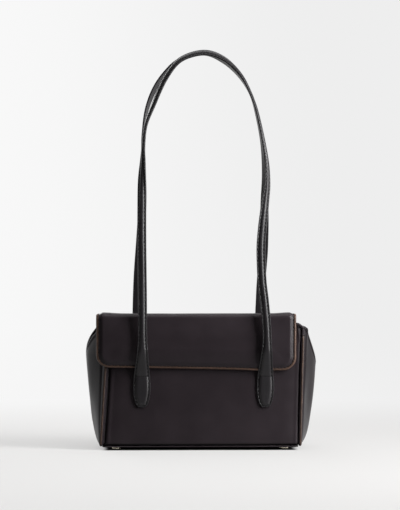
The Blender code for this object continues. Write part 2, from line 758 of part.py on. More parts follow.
def strap_stations(end, route):
    """Places along a strap: (middle, direction across, outward normal, width)."""
    foot = SEWN_HEIGHT + CLEARANCE
    middle = strap_middle(end)
    spine = []
    turns = []
    for x_share, z_share, turn in smooth_rows(route, FINE_STEPS):
        z = between(foot, STRAP_TOP_HEIGHT, z_share)
        x = middle + STRAP_HALF_SPACING * x_share
        spine.append(Vector((x, end * strap_reach(z), z)))
        turns.append(math.radians(turn))
    last = len(spine) - 1
    tangents = [(spine[min(i + 1, last)] - spine[max(i - 1, 0)]).normalized() for i in range(last + 1)]
    tangents[0] = Vector((0, 0, 1))
    tangents[-1] = Vector((0, 0, -1))
    travelled = [0.0]
    for i in range(last):
        bend = tangents[i].angle(tangents[i + 1]) + abs(turns[i + 1] - turns[i])
        step = (spine[i + 1] - spine[i]).length
        travelled.append(travelled[-1] + bend / STATION_TURN + step / STATION_LENGTH)
    count = math.ceil(travelled[-1])
    stations = []
    i = 0
    for k in range(count + 1):
        goal = travelled[-1] * k / count
        while i < last and travelled[i] < goal:
            i += 1
        stations.append(station(spine[i], tangents[i], turns[i], end))
    return stations


def station(point, tangent, turn, end):
    away = Vector((0, end, 0))
    away = (away - tangent * away.dot(tangent)).normalized()
    outward = tangent.cross(Vector((0, 1, 0))).normalized()
    normal = away * math.cos(turn) + outward * math.sin(turn)
    return point, tangent.cross(normal).normalized(), normal, strap_width(point.z)


def ring_at(stand, section):
    """The points of a section (share of the half width, level) at one station."""
    point, across, normal, width = stand
    return [point + across * (share * width / 2) + normal * level for share, level in section]


def crowned(margin, crown):
    """The upper outline of a padded strap: flat margins and a raised middle."""
    shoulder = between(margin, crown, PADDING_SHOULDER_SHARE)
    half = [(1.0, margin), (PADDING_FOOT_SHARE, margin), (PADDING_CROWN_SHARE, shoulder)]
    return half + [(0.0, crown)] + [(-share, level) for share, level in reversed(half)]


def strap_sections():
    """Sections of the strap's face leather, its filler and its backing leather."""
    face = crowned(STRAP_MARGIN_LEVEL, STRAP_CROWN_LEVEL)
    face += reversed(crowned(STRAP_SEAT_LEVEL, STRAP_INNER_CROWN_LEVEL))
    top = STRAP_INNER_CROWN_LEVEL - CLEARANCE
    core = [
        (FILLER_FOOT_SHARE, STRAP_SEAT_LEVEL),
        (FILLER_TOP_SHARE, top),
        (-FILLER_TOP_SHARE, top),
        (-FILLER_FOOT_SHARE, STRAP_SEAT_LEVEL),
        (0.0, STRAP_SEAT_LEVEL),
    ]
    under = -STRAP_THICKNESS / 2
    upper = [(share, BACKING_LEVEL) for share in (1.0, 0.0, -1.0)]
    backing = upper + [(share, under) for share in (-1.0, 0.0, 1.0)]
    return face, core, backing


def make_strap(end, route):
    face, core, backing = strap_sections()
    stations = strap_stations(end, route)
    name = f"{END_NAMES[end]}_strap"
    seat = (strap_middle(end), end * (seat_reach(SEWN_HEIGHT) + STRAP_THICKNESS / 2))
    swing = pivot(f"{name}_swing", (*seat, SEWN_HEIGHT + CLEARANCE / 2))
    for layer, section, finish in (
        ("face", face, GRAIN_LEATHER),
        ("filler", core, FILLER),
        ("backing", backing, GRAIN_LEATHER),
    ):
        rings = [ring_at(stand, section) for stand in stations]
        hang(loft(f"{name}_{layer}", rings, finish), swing)


def make_tabs():
    """The sewn ends of the straps, and the patch behind the panel that each is sewn to."""
    under = -STRAP_THICKNESS / 2
    section = crowned(STRAP_MARGIN_LEVEL, STRAP_CROWN_LEVEL) + [(-1.0, under), (1.0, under)]
    sewn_share = TAB_LENGTH / TAPER_LENGTH
    rows = [share for share, _ in TAPER_SHARES if share < sewn_share] + [sewn_share]
    for end in (FRONT, BACK):
        for side in (LEFT, RIGHT):
            x = strap_middle(end) + side * STRAP_HALF_SPACING
            rings = []
            for share in rows:
                z = between(TAB_TIP_HEIGHT, TAPER_TOP_HEIGHT, share)
                middle = Vector((x, end * seat_reach(z), z))
                stand = (middle, Vector((1, 0, 0)), Vector((0, end, 0)), strap_width(z))
                rings.append(ring_at(stand, section))
            place_name = f"{END_NAMES[end]}_{SIDE_NAMES[side]}"
            loft(f"strap_tab_{place_name}", rings, GRAIN_LEATHER)
            make_patch(f"strap_patch_{place_name}", end, x)


def make_patch(name, end, x):
    top = SEWN_HEIGHT + PATCH_MARGIN
    foot = TAB_TIP_HEIGHT - PATCH_MARGIN
    z = (top + foot) / 2
    outline = rounded_outline(TAB_WIDTH + 2 * PATCH_MARGIN, top - foot, PATCH_CORNER_RADIUS)
    centre = (x, behind_panel(end, z, PANEL_THICKNESS + PATCH_ROOM / 2), z)
    plate(name, [outline], PATCH_THICKNESS, centre, panel_tilt(end), BOARD)


def main():
    make_body()
    make_piping()
    make_bindings()
    make_base()
    make_lining()
    make_flap()
    make_tabs()
    make_strap(FRONT, FRONT_ROUTE_SHARES)
    make_strap(BACK, BACK_ROUTE_SHARES)
    bpy.context.view_layer.update()


main()
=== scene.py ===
"""Shoulder bag in smooth dark leather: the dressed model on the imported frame.

X to the right, Y to the back, Z up, in metres, with the origin on the floor under the bag.
"""

import math

import bmesh
import bpy
import numpy as np
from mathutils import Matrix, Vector, noise


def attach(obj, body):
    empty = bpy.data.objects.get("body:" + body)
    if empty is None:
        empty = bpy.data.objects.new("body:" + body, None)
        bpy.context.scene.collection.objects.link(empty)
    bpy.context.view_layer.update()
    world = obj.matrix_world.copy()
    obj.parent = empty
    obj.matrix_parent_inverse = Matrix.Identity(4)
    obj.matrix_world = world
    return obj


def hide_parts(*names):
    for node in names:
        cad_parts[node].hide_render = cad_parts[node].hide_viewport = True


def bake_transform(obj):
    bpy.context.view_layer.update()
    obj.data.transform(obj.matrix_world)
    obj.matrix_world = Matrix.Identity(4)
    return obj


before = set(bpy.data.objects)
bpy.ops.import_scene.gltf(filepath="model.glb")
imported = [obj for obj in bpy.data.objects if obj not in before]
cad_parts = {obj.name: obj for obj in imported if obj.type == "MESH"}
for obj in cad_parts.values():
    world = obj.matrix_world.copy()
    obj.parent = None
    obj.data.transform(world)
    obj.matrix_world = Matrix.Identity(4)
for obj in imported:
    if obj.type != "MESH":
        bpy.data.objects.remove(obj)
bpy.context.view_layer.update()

FRONT, BACK = -1, 1
LEFT, RIGHT = -1, 1
SIDE_NAMES = {LEFT: "left", RIGHT: "right"}
END_NAMES = {FRONT: "front", BACK: "back"}

# Sizes of the body, as its solids have them
BODY_HALF_WIDTH = 0.1125
BODY_HALF_DEPTH = 0.040
PANEL_FOOT = 0.0056
MOUTH_HEIGHT = 0.143
PANEL_LEAN = 0.003
MOUTH_SHIFT = 0.0062
MOUTH_NARROWING = 0.0024
PANEL_THICKNESS = 0.0021
SEAM_EDGE = 0.0019
CORNER_DIP = 0.0036
GUSSET_EDGE = 0.0377
GUSSET_THICKNESS = 0.0016
# The gussets' folds, as the photograph shows them
GUSSET_REACH = {LEFT: 0.0197, RIGHT: 0.0189}
GUSSET_TIP_HEIGHT = {LEFT: 0.1080, RIGHT: 0.0974}
GUSSET_RISE_POWER = {LEFT: 0.52, RIGHT: 0.37}
GUSSET_FOLD_POWER = {LEFT: 1.60, RIGHT: 1.05}
GUSSET_TOP_POWER = {LEFT: 0.80, RIGHT: 1.0}
GUSSET_EAR = {LEFT: 0.0, RIGHT: 0.0018}
GUSSET_TOP_SOFTNESS = 0.10
GUSSET_FOLD_SOFTNESS = 0.18
# The pinched strip beside each front seam: the lip's place and the groove's, in from the seam
SEAM_LIP = {LEFT: 0.0023, RIGHT: 0.0}
SEAM_GROOVE = {LEFT: 0.0043, RIGHT: 0.0016}
SEAM_GROOVE_WIDTH = {LEFT: 0.0009, RIGHT: 0.0007}
SEAM_GROOVE_DEPTH = {LEFT: 0.0014, RIGHT: 0.0008}
SEAM_INSET = 0.0008
SEAM_SET_BACK = 0.0026
PAINT_TOP = 0.1312

# The flap: flat places (x, s) carried round the front bend. s starts in the middle of the top
FLAP_LEFT = -0.11805
FLAP_RIGHT = 0.10845
FLAP_TOP = 0.1542
FLAP_FOOT = 0.090
FLAP_HALF = 0.0017
BEND_OUTER_RADIUS = 0.0057
BEND_Z = 0.1485
BACK_BEND_Y = 0.0313
FRONT_BEND_Y = -0.03736
TOP_LENGTH = 0.03536
FLAP_START_Y = FRONT_BEND_Y + TOP_LENGTH
MID_RADIUS = BEND_OUTER_RADIUS - FLAP_HALF
BEND_END = TOP_LENGTH + MID_RADIUS * math.pi / 2
FLAP_LENGTH = BEND_END + BEND_Z - FLAP_FOOT
CORNER_RADIUS = 0.0150
PUFF = 0.0031
BACK_FALL = 0.0019
FOOT_LINE = (
    (-0.118, 0.0936), (-0.060, 0.0928), (0.0, 0.0918), (0.045, 0.0906), (0.066, 0.0897),
    (0.090, 0.0899), (0.109, 0.0903),
)
EDGE_COVER = 0.0018
BACK_RISE = BEND_Z - PANEL_FOOT
BACK_BEND_END = BACK_RISE + BEND_OUTER_RADIUS * math.pi / 2

# Straps
SEWN_HEIGHT = 0.084
STRAP_TOP_HEIGHT = 0.4528
STRAP_HALF_SPACING = 0.0699
STRAP_SEAT = 0.0018
STRAP_STAND = 0.05166
STRAP_RISE_START = 0.0800
STRAP_RISE_END = 0.1150
STRAP_LEAN_HEIGHT = 0.150
STRAP_LEAN_SOFTNESS = 0.045
STRAP_TOP_REACH = 0.0056
TAB_TIP_HEIGHT = 0.0485
# Each strap's route, foot to foot: X as a share of STRAP_HALF_SPACING, height as a share of
# the rise over the sewn line, and the turn of the face in degrees
FRONT_ROUTE_SHARES = (
    (-1.00, 0.000, 0), (-0.99, 0.065, 0), (-0.99, 0.141, 0), (-0.99, 0.233, 0),
    (-1.00, 0.417, 0), (-1.00, 0.526, 6), (-1.00, 0.597, 26), (-0.99, 0.660, 58),
    (-0.98, 0.705, 74), (-0.94, 0.769, 78), (-0.82, 0.832, 68), (-0.62, 0.918, 60),
    (-0.37, 0.977, 58), (0.02, 1.000, 54), (0.36, 0.979, 62), (0.636, 0.926, 78),
    (0.824, 0.849, 85), (0.928, 0.778, 80), (1.03, 0.675, 68), (1.045, 0.597, 50),
    (1.01, 0.538, 32), (0.985, 0.500, 22), (0.955, 0.455, 12), (0.930, 0.400, 4),
    (0.930, 0.345, 0), (0.945, 0.285, 0), (0.980, 0.225, 0), (1.015, 0.140, 0),
    (1.015, 0.080, 0), (1.00, 0.000, 0),
)
BACK_ROUTE_SHARES = (
    (-1.00, 0.000, 0), (-1.03, 0.099, 0), (-1.03, 0.195, 0), (-1.01, 0.307, 0),
    (-0.97, 0.418, 5), (-0.94, 0.529, 30), (-0.93, 0.624, 58), (-0.935, 0.702, 76),
    (-0.925, 0.755, 80), (-0.878, 0.820, 72), (-0.757, 0.883, 64), (-0.578, 0.936, 68),
    (-0.33, 0.979, 73), (0.07, 1.000, 74), (0.385, 0.977, 76), (0.65, 0.933, 82),
    (0.848, 0.876, 86), (0.960, 0.808, 83), (1.055, 0.718, 76), (1.100, 0.624, 56),
    (1.095, 0.529, 30), (1.095, 0.464, 16), (1.085, 0.390, 4), (1.070, 0.345, 0),
    (1.045, 0.285, 0), (1.030, 0.220, 0), (1.020, 0.170, 0), (1.010, 0.100, 0),
    (1.00, 0.000, 0),
)
# A strap's width at each height
TAB_WIDTHS = (
    (0.0482, 0.0024), (0.0484, 0.0052), (0.0489, 0.0078), (0.0497, 0.0099), (0.0510, 0.0120),
    (0.0530, 0.0141), (0.0560, 0.0161), (0.0590, 0.0175), (0.0630, 0.0188), (0.0680, 0.0196),
    (0.0730, 0.0198), (0.0780, 0.0194), (0.0830, 0.0185), (0.0900, 0.0170), (0.0970, 0.0155),
    (0.1040, 0.0141), (0.1120, 0.0125), (0.1230, 0.0107), (0.1300, 0.0102),
)
# Across a strap: in from its edge, its upper side, its under side
SECTION = (
    (0.00000, -0.00045, -0.00055), (0.00010, 0.00004, -0.00095), (0.00025, 0.00034, -0.00125),
    (0.00050, 0.00050, -0.00142), (0.00080, 0.00050, -0.00150), (0.00110, 0.00040, -0.00150),
    (0.00140, 0.00027, -0.00150), (0.00170, 0.00018, -0.00150), (0.00205, 0.00018, -0.00150),
    (0.00235, 0.00034, -0.00150), (0.00265, 0.00064, -0.00150), (0.00300, 0.00100, -0.00150),
    (0.00340, 0.00128, -0.00150), (0.00390, 0.00150, -0.00150), (0.00440, 0.00162, -0.00150),
    (0.00500, 0.00166, -0.00150),
)
SHOULDER = 0.0032
NARROW_HALF = 0.0050
SEWN_DENT_REACH = 0.0016
SEWN_EDGE = 0.0024
TIP_STEPS = (0.0, 0.00012, 0.0003, 0.0006, 0.0011)

# Stitches: (pitch, length, radius)
STRAP_STITCH = (0.0043, 0.0028, 0.00054)
FLAP_STITCH = (0.0039, 0.0026, 0.00056)
TOP_STITCH = (0.0039, 0.0026, 0.00050)
GUSSET_STITCH = (0.0036, 0.0022, 0.00028)
MOUTH_STITCH = (0.0028, 0.0019, 0.00026)
POCKET_STITCH = (0.0030, 0.0020, 0.00022)
STRAP_STITCH_INSET = 0.00188
FLAP_STITCH_INSET = 0.0031
# One stitch: places along it and the thread's width there, as shares
STITCH_SHARES = ((-0.50, 0.45), (-0.36, 0.90), (0.0, 1.05), (0.36, 0.90), (0.50, 0.45))
STITCH_SIDES = 6

# Colours (red, green, blue) and the studio
BODY_COLOUR = (0.0185, 0.0142, 0.0166)
# Painted shade: the tint that the leathers take in grooves, creases and at the front panel's foot
PAINTED_SHADE = (0.0030, 0.0024, 0.0026)
BROWN = (0.064, 0.038, 0.028)
# Painted light: the paper is lighter to the left and darker to the right, where the key lamp lights
# it more
PAPER_LEFT = (0.46, 0.455, 0.45)
PAPER_RIGHT = (0.335, 0.33, 0.325)
PAPER_BOUNCE = (0.10, 0.10, 0.10)
# Painted shadow: the paper's colour under the bag and just round it
PAINTED_SHADOW_UNDER_BAG = (0.04, 0.04, 0.04)
FLOOR_WHITE = (0.95, 0.945, 0.94)
FLOOR_GLOW = 0.52
# Painted light: the backdrop glows brighter to the left than to the right
BACKDROP_LEFT = (0.94, 0.94, 0.94)
BACKDROP_RIGHT = (0.855, 0.855, 0.855)
SHEET_HALF_WIDTH = 9.0
SHEET_FOOT = 3.6
SHEET_BEND = 1.4
SHEET_TOP = 8.0
WORLD_LIGHT = 0.07
WORLD_SHOWN = 0.88
# Name, azimuth from the front to the right, elevation, distance, (width, height), watts
LAMPS = (
    ("key", 61, 24, 1.00, (0.40, 0.90), 25.0),
    ("top_front", 0, 74, 2.0, (1.6, 0.8), 20.0),
    ("top_back", 180, 60, 2.2, (2.0, 1.2), 15.0),
    ("back", 205, 28, 2.4, (0.9, 0.9), 14.0),
    ("left", -100, 20, 2.2, (1.0, 1.4), 8.0),
)


# Shader nodes. A source is another node's output or a plain value
def connect(tree, socket, source):
    if isinstance(source, bpy.types.NodeSocket):
        tree.links.new(source, socket)
    else:
        socket.default_value = source


def feed(tree, node, **inputs):
    """Set a node's inputs by name, with _ for each space."""
    for key, source in inputs.items():
        connect(tree, node.inputs[key.replace("_", " ")], source)


def add_node(tree, kind, *sources, settings=None, **inputs):
    """A new node, with its inputs set in their order (sources) or by name (inputs)."""
    node = tree.nodes.new(f"ShaderNode{kind}")
    for key, value in (settings or {}).items():
        setattr(node, key, value)
    for socket, source in zip(node.inputs, sources):
        connect(tree, socket, source)
    feed(tree, node, **inputs)
    return node


def calculate(tree, operation, *sources):
    return add_node(tree, "Math", *sources, settings={"operation": operation}).outputs[0]


def largest(tree, first, *others):
    for other in others:
        first = calculate(tree, "MAXIMUM", first, other)
    return first


def ranged(tree, source, low, high):
    """A value's smooth share of the way from low to high."""
    settings = {"interpolation_type": "SMOOTHSTEP"}
    span = add_node(tree, "MapRange", settings=settings, Value=source, From_Min=low, From_Max=high)
    return span.outputs["Result"]


def colour_ramp(tree, share, *stops):
    ramp = add_node(tree, "ValToRGB", share)
    elements = ramp.color_ramp.elements
    elements[0].position, elements[0].color = stops[0][0], (*stops[0][1], 1)
    elements[1].position, elements[1].color = stops[-1][0], (*stops[-1][1], 1)
    for position, colour in stops[1:-1]:
        elements.new(position).color = (*colour, 1)
    return ramp.outputs["Color"]


def mixed(tree, share, first, second):
    return add_node(tree, "MixRGB", share, first, second).outputs["Color"]


def places_of(tree):
    """The object's own coordinates."""
    return add_node(tree, "TexCoord").outputs["Object"]


def scaled(colour, factor):
    return tuple(min(1.0, channel * factor) for channel in colour)


# Materials
def new_material(name):
    material = bpy.data.materials.new(name)
    material.use_nodes = True
    tree = material.node_tree
    return material, tree, tree.nodes["Principled BSDF"]


def add_relief(tree, shader, height, strength, distance):
    bump = add_node(tree, "Bump", Height=height, Strength=strength, Distance=distance)
    feed(tree, shader, Normal=bump.outputs["Normal"])


def leather(name, colour, roughness, specular, grain=1500.0, depth=0.14, tint=PAINTED_SHADE):
    """Leather: a pebbled grain, fine pores, and slow changes of colour and gloss."""
    material, tree, shader = new_material(name)
    places = places_of(tree)
    patches = add_node(tree, "TexNoise", Vector=places, Scale=22.0, Detail=4.0, Roughness=0.6)
    pores = add_node(
        tree, "TexNoise", Vector=places, Scale=grain * 2.6, Detail=3.0, Roughness=0.55
    )
    warp = add_node(tree, "TexNoise", Vector=places, Scale=grain * 0.35, Detail=2.0)
    shifted = add_node(
        tree, "VectorMath", warp.outputs["Color"], (0.6 / grain,) * 3, places,
        settings={"operation": "MULTIPLY_ADD"},
    )
    pebbles = add_node(
        tree, "TexVoronoi", settings={"feature": "SMOOTH_F1"},
        Vector=shifted.outputs[0], Scale=grain, Randomness=1.0, Smoothness=0.6,
    )
    dyed = colour_ramp(
        tree, patches.outputs["Fac"],
        (0.30, scaled(colour, 0.86)), (0.52, colour), (0.72, scaled(colour, 1.16)),
    )
    # The tint share is painted shade on the front panel and straps, and the brown of the edge paint
    # on the flap
    edge = add_node(tree, "Attribute", settings={"attribute_name": "shade_and_edge_paint"})
    gloss = add_node(
        tree, "MapRange", Value=patches.outputs["Fac"], From_Min=0.3, From_Max=0.7,
        To_Min=roughness - 0.05, To_Max=roughness + 0.06,
    )
    feed(
        tree, shader, Base_Color=mixed(tree, edge.outputs["Fac"], dyed, (*tint, 1)),
        Roughness=gloss.outputs["Result"], Specular_IOR_Level=specular,
    )
    height = calculate(
        tree, "MULTIPLY_ADD", pores.outputs["Fac"], 0.35, pebbles.outputs["Distance"]
    )
    add_relief(tree, shader, height, depth, 0.0003)
    return material


def painted_edge(name, colour, roughness):
    """Edge paint: a smooth thick coat with slightly worn, lighter and darker stretches."""
    material, tree, shader = new_material(name)
    wear = add_node(
        tree, "TexNoise", Vector=places_of(tree), Scale=140.0, Detail=5.0, Roughness=0.65
    ).outputs["Fac"]
    coat = colour_ramp(
        tree, wear, (0.30, scaled(colour, 0.62)), (0.50, colour), (0.70, scaled(colour, 1.45))
    )
    feed(tree, shader, Base_Color=coat, Roughness=roughness, Specular_IOR_Level=0.22)
    add_relief(tree, shader, wear, 0.25, 0.0002)
    return material


def woven(name, colour, pitch):
    """A matt woven lining: two crossed sets of fine threads."""
    material, tree, shader = new_material(name)
    places = places_of(tree)
    waves = [
        add_node(
            tree, "TexWave", settings={"bands_direction": direction},
            Vector=places, Scale=1.0 / pitch, Distortion=0.6,
        ).outputs["Fac"]
        for direction in ("X", "Z")
    ]
    weave = calculate(tree, "MULTIPLY", *waves)
    cloth = colour_ramp(tree, weave, (0.0, scaled(colour, 0.7)), (1.0, scaled(colour, 1.3)))
    feed(tree, shader, Base_Color=cloth, Roughness=0.85, Sheen_Weight=0.2)
    add_relief(tree, shader, weave, 0.3, 0.0002)
    return material


def metal(name, colour, roughness):
    material, tree, shader = new_material(name)
    marks = add_node(tree, "TexNoise", Vector=places_of(tree), Scale=900.0, Detail=3.0)
    marks = marks.outputs["Fac"]
    shine = colour_ramp(tree, marks, (0.3, scaled(colour, 0.92)), (0.7, scaled(colour, 1.04)))
    feed(tree, shader, Base_Color=shine, Metallic=1.0, Roughness=roughness)
    add_relief(tree, shader, marks, 0.05, 0.0001)
    return material


BODY_LEATHER = leather("smooth_dark_leather", BODY_COLOUR, 0.40, 0.11)
FLAP_LEATHER = leather("flap_leather", BODY_COLOUR, 0.36, 0.13, tint=(0.048, 0.028, 0.020))
# Painted shade: the gussets take the body leather darkened to about half
GUSSET_LEATHER = leather("gusset_leather", scaled(BODY_COLOUR, 0.54), 0.31, 0.12)
# The strap leather's tint is painted shade, in its stitched grooves and along its sewn lines
STRAP_LEATHER = leather(
    "grained_strap_leather", (0.0120, 0.0108, 0.0122), 0.36, 0.27, 1050.0, 0.18,
    tint=(0.0030, 0.0026, 0.0030),
)
EDGE_PAINT = painted_edge("brown_painted_edge", BROWN, 0.42)
# Painted shade: the corner seams take the brown edge paint darkened to two thirds
SEAM_PAINT = painted_edge("brown_seam_edge", scaled(BROWN, 0.66), 0.45)
THREAD = painted_edge("dark_thread", (0.0032, 0.0026, 0.0028), 0.75)
STRAP_THREAD = painted_edge("strap_thread", (0.0026, 0.0023, 0.0026), 0.75)
LINING = woven("dark_woven_lining", (0.018, 0.016, 0.018), 0.0009)
FOOT_METAL = metal("pale_gold_metal", (0.84, 0.76, 0.62), 0.22)
MAGNET_METAL = metal("nickel_disc", (0.60, 0.60, 0.61), 0.30)
BOARD = painted_edge("grey_board", (0.200, 0.190, 0.180), 0.80)


# Numbers
def unit(vectors):
    return vectors / np.linalg.norm(vectors, axis=-1, keepdims=True)


def square_to(vectors, along):
    """Unit vectors at right angles to `along`, in the planes that `vectors` lie in."""
    return unit(vectors - along * np.sum(vectors * along, axis=1, keepdims=True))


def repeated(vector, count):
    return np.repeat([vector], count, axis=0)


def smooth_step(value, start, stop):
    t = np.clip((value - start) / (stop - start), 0, 1)
    return t * t * (3 - 2 * t)


def bell(distance, width):
    return math.exp(-((distance / width) ** 2))


def ripple(x, y, z, scale, seed):
    return noise.noise(Vector((x * scale + seed, y * scale, z * scale)))


def resample(points, step):
    """Rows of numbers whose first three are a place, spaced evenly along the line."""
    points = np.asarray(points, float)
    lengths = np.linalg.norm(np.diff(points[:, :3], axis=0), axis=1)
    travelled = np.concatenate([[0], np.cumsum(lengths)])
    keep = np.concatenate([[True], lengths > 1e-9])
    count = max(2, int(math.ceil(travelled[-1] / step)) + 1)
    goals = np.linspace(0, travelled[-1], count)
    columns = [np.interp(goals, travelled[keep], column[keep]) for column in points.T]
    return np.stack(columns, axis=1), goals


def spaced(start, stop, count, edge=0.0):
    """Numbers from start to stop; edge above 0 crowds them towards both ends."""
    t = np.linspace(0, 1, count)
    t = t + edge * (0.5 - 0.5 * np.cos(math.pi * t) - t)
    return start + (stop - start) * t


# Meshes
def add_mesh(name, verts, faces, material, body=None, replaces=(), slot=None, solid=True):
    mesh = bpy.data.meshes.new(name)
    mesh.from_pydata([tuple(v) for v in np.asarray(verts, float)], [], faces)
    if solid:
        bm = bmesh.new()
        bm.from_mesh(mesh)
        bmesh.ops.recalc_face_normals(bm, faces=bm.faces)
        bm.to_mesh(mesh)
        bm.free()
    mesh.materials.append(material)
    mesh.polygons.foreach_set("use_smooth", [True] * len(mesh.polygons))
    mesh.update()
    obj = bpy.data.objects.new(name, mesh)
    bpy.context.scene.collection.objects.link(obj)
    if body:
        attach(obj, body)
    if replaces:
        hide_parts(*replaces)
    return obj


def set_tint(obj, values):
    """Give every point its share of the material's tint: painted shade on the front panel and
    straps, the brown of the edge paint on the flap.
    """
    tint = obj.data.attributes.new("shade_and_edge_paint", "FLOAT", "POINT")
    tint.data.foreach_set("value", np.asarray(values, np.float32).ravel())


def grid_faces(rows, columns, start=0, flip=False):
    faces = []
    for r in range(rows - 1):
        for c in range(columns - 1):
            a = start + r * columns + c
            face = (a, a + 1, a + columns + 1, a + columns)
            faces.append(face[::-1] if flip else face)
    return faces


def thick_sheet(name, place, rows, columns, depths, material, **options):
    """A closed sheet with a rounded rim; place(v, u, depth) gives a point and maybe its tint."""
    outer, inner = (
        np.array([[place(v, u, depth) for u in columns] for v in rows], float) for depth in depths
    )
    tint, outer, inner = outer[..., 3:], outer[..., :3], inner[..., :3]
    middle = (outer + inner) / 2
    rows, columns = middle.shape[:2]
    count = rows * columns
    faces = grid_faces(rows, columns) + grid_faces(rows, columns, count, True)
    border = [(0, c) for c in range(columns)] + [(r, columns - 1) for r in range(1, rows)]
    border += [(rows - 1, c) for c in range(columns - 2, -1, -1)]
    border += [(r, 0) for r in range(rows - 2, 0, -1)]
    rim = []
    for i, (r, c) in enumerate(border):
        out = middle[r, c] - middle[min(max(r, 1), rows - 2), min(max(c, 1), columns - 2)]
        half = np.linalg.norm(outer[r, c] - inner[r, c]) / 2
        rim.append(middle[r, c] + out / np.linalg.norm(out) * half * 0.8)
        after = (i + 1) % len(border)
        a, b = r * columns + c, border[after][0] * columns + border[after][1]
        low, high = 2 * count + i, 2 * count + after
        faces += [(a, b, high, low), (low, high, count + b, count + a)]
    verts = np.concatenate([outer.reshape(-1, 3), inner.reshape(-1, 3), rim])
    sheet = add_mesh(name, verts, faces, material, **options)
    if tint.size:
        # The rim takes the full tint: on the front panel that is painted shade along all its edges
        set_tint(sheet, np.concatenate([tint.ravel(), tint.ravel(), np.ones(len(rim))]))
    return sheet


def tube_faces(count, sides):
    """The faces of a closed tube of `count` rings, and its two ends."""
    faces = []
    for i in range(0, (count - 1) * sides, sides):
        for k in range(sides):
            m = (k + 1) % sides
            faces.append((i + k, i + m, i + sides + m, i + sides + k))
    return faces + [tuple(range(sides))[::-1], tuple(range((count - 1) * sides, count * sides))]


def tube(name, rings, material, **options):
    rings = np.asarray(rings, float)
    faces = tube_faces(*rings.shape[:2])
    return add_mesh(name, rings.reshape(-1, 3), faces, material, **options)


def sweep(name, centres, across, up, profile, material, **options):
    """A closed tube: a profile (across, up), or one for each place, carried along a line."""
    if profile.ndim == 2:
        profile = repeated(profile, len(centres))
    rings = centres[:, None] + across[:, None] * profile[..., :1] + up[:, None] * profile[..., 1:]
    return tube(name, rings, material, **options)


def stitches(name, marks, stitch, material, **options):
    """Short raised stitches. marks: rows of (centre, direction, outward normal)."""
    _, length, radius = stitch
    marks = np.asarray(marks, float)
    centre, along, out = marks[:, 0], unit(marks[:, 1]), unit(marks[:, 2])
    side = np.cross(along, out)
    verts = []
    for position, width in STITCH_SHARES:
        for k in range(STITCH_SIDES):
            angle = 2 * math.pi * k / STITCH_SIDES
            swing = (side * math.cos(angle) + out * math.sin(angle)) * radius * width
            verts.append(centre + along * position * length + swing)
    verts = np.stack(verts, axis=1)
    pattern = tube_faces(len(STITCH_SHARES), STITCH_SIDES)
    faces = []
    for start in range(0, len(marks) * verts.shape[1], verts.shape[1]):
        faces += [tuple(start + v for v in face) for face in pattern]
    return add_mesh(name, verts.reshape(-1, 3), faces, material, **options)


def marks_along(centres, along, out, pitch):
    """Even marks for stitches along a line."""
    rows, _ = resample(np.concatenate([centres, along, out], axis=1), pitch)
    return [(row[:3], row[3:6], row[6:9]) for row in rows]


def rounded_profile(half_width, half_height, power=2.6, count=18):
    """A rounded box as a profile."""
    points = []
    for k in range(count):
        angle = 2 * math.pi * k / count
        c, s = math.cos(angle), math.sin(angle)
        x = math.copysign(abs(c) ** (2 / power), c) * half_width
        y = math.copysign(abs(s) ** (2 / power), s) * half_height
        points.append((x, y))
    return np.array(points)


# The body's outer surfaces
def height_share(z):
    return (z - PANEL_FOOT) / (MOUTH_HEIGHT - PANEL_FOOT)


def panel_y(end, z):
    return end * (BODY_HALF_DEPTH - PANEL_LEAN * height_share(z))


def seam_x(side, end, z):
    shift = MOUTH_SHIFT * height_share(z) if end == FRONT else 0
    return side * (BODY_HALF_WIDTH - MOUTH_NARROWING * height_share(z)) + shift


def panel_sag(end, x, z):
    """How far the soft panel stands out of its plane: nothing at the tabs, less at the sides."""
    share = min(1.0, max(0.0, height_share(z)))
    bow = 1 - (x / STRAP_HALF_SPACING) ** 2
    crown = 0.0012 * bow * math.sin(math.pi * (0.08 + 0.84 * share) ** 0.8)
    return crown + 0.00025 * ripple(x, end, z, 30.0, 3.0)


def edge_drop(distance, reach, depth):
    """How far a panel's face falls away beside a seam."""
    return depth * max(0.0, 1 - distance / reach) ** 2.2


def seam_relief(side, distance, z):
    """How far the face stands out (+) or in (-) near a corner seam, and its share of painted shade
    in the groove.
    """
    open_share = 1 - smooth_step(z, 0.128, 0.139) * 0.5
    groove = bell(distance - SEAM_GROOVE[side], SEAM_GROOVE_WIDTH[side])
    relief = -SEAM_GROOVE_DEPTH[side] * groove * open_share
    if SEAM_LIP[side]:
        relief += 0.0004 * bell(distance - SEAM_LIP[side], 0.0007)
    relief += 0.0006 * bell(distance - SEAM_GROOVE[side] - 0.0030, 0.0022) * open_share
    return relief, min(1.0, groove * 1.3)


def mouth_dip(x):
    """How far the front mouth's edge dips where it turns into a gusset."""
    shares = [
        float(smooth_step(side * (x - seam_x(side, FRONT, MOUTH_HEIGHT)), -0.0075, 0.0))
        for side in (LEFT, RIGHT)
    ]
    return CORNER_DIP * (shares[0] ** 1.5 + shares[1] ** 1.5)


def pinch_folds(x, z):
    """The soft fold that the pinched upper right corner throws."""
    seam = seam_x(RIGHT, FRONT, z)
    fold = bell(x - seam + 0.0045 + (z - 0.134) * 0.12, 0.0013)
    return 0.0008 * fold * float(smooth_step(z, 0.119, 0.131))


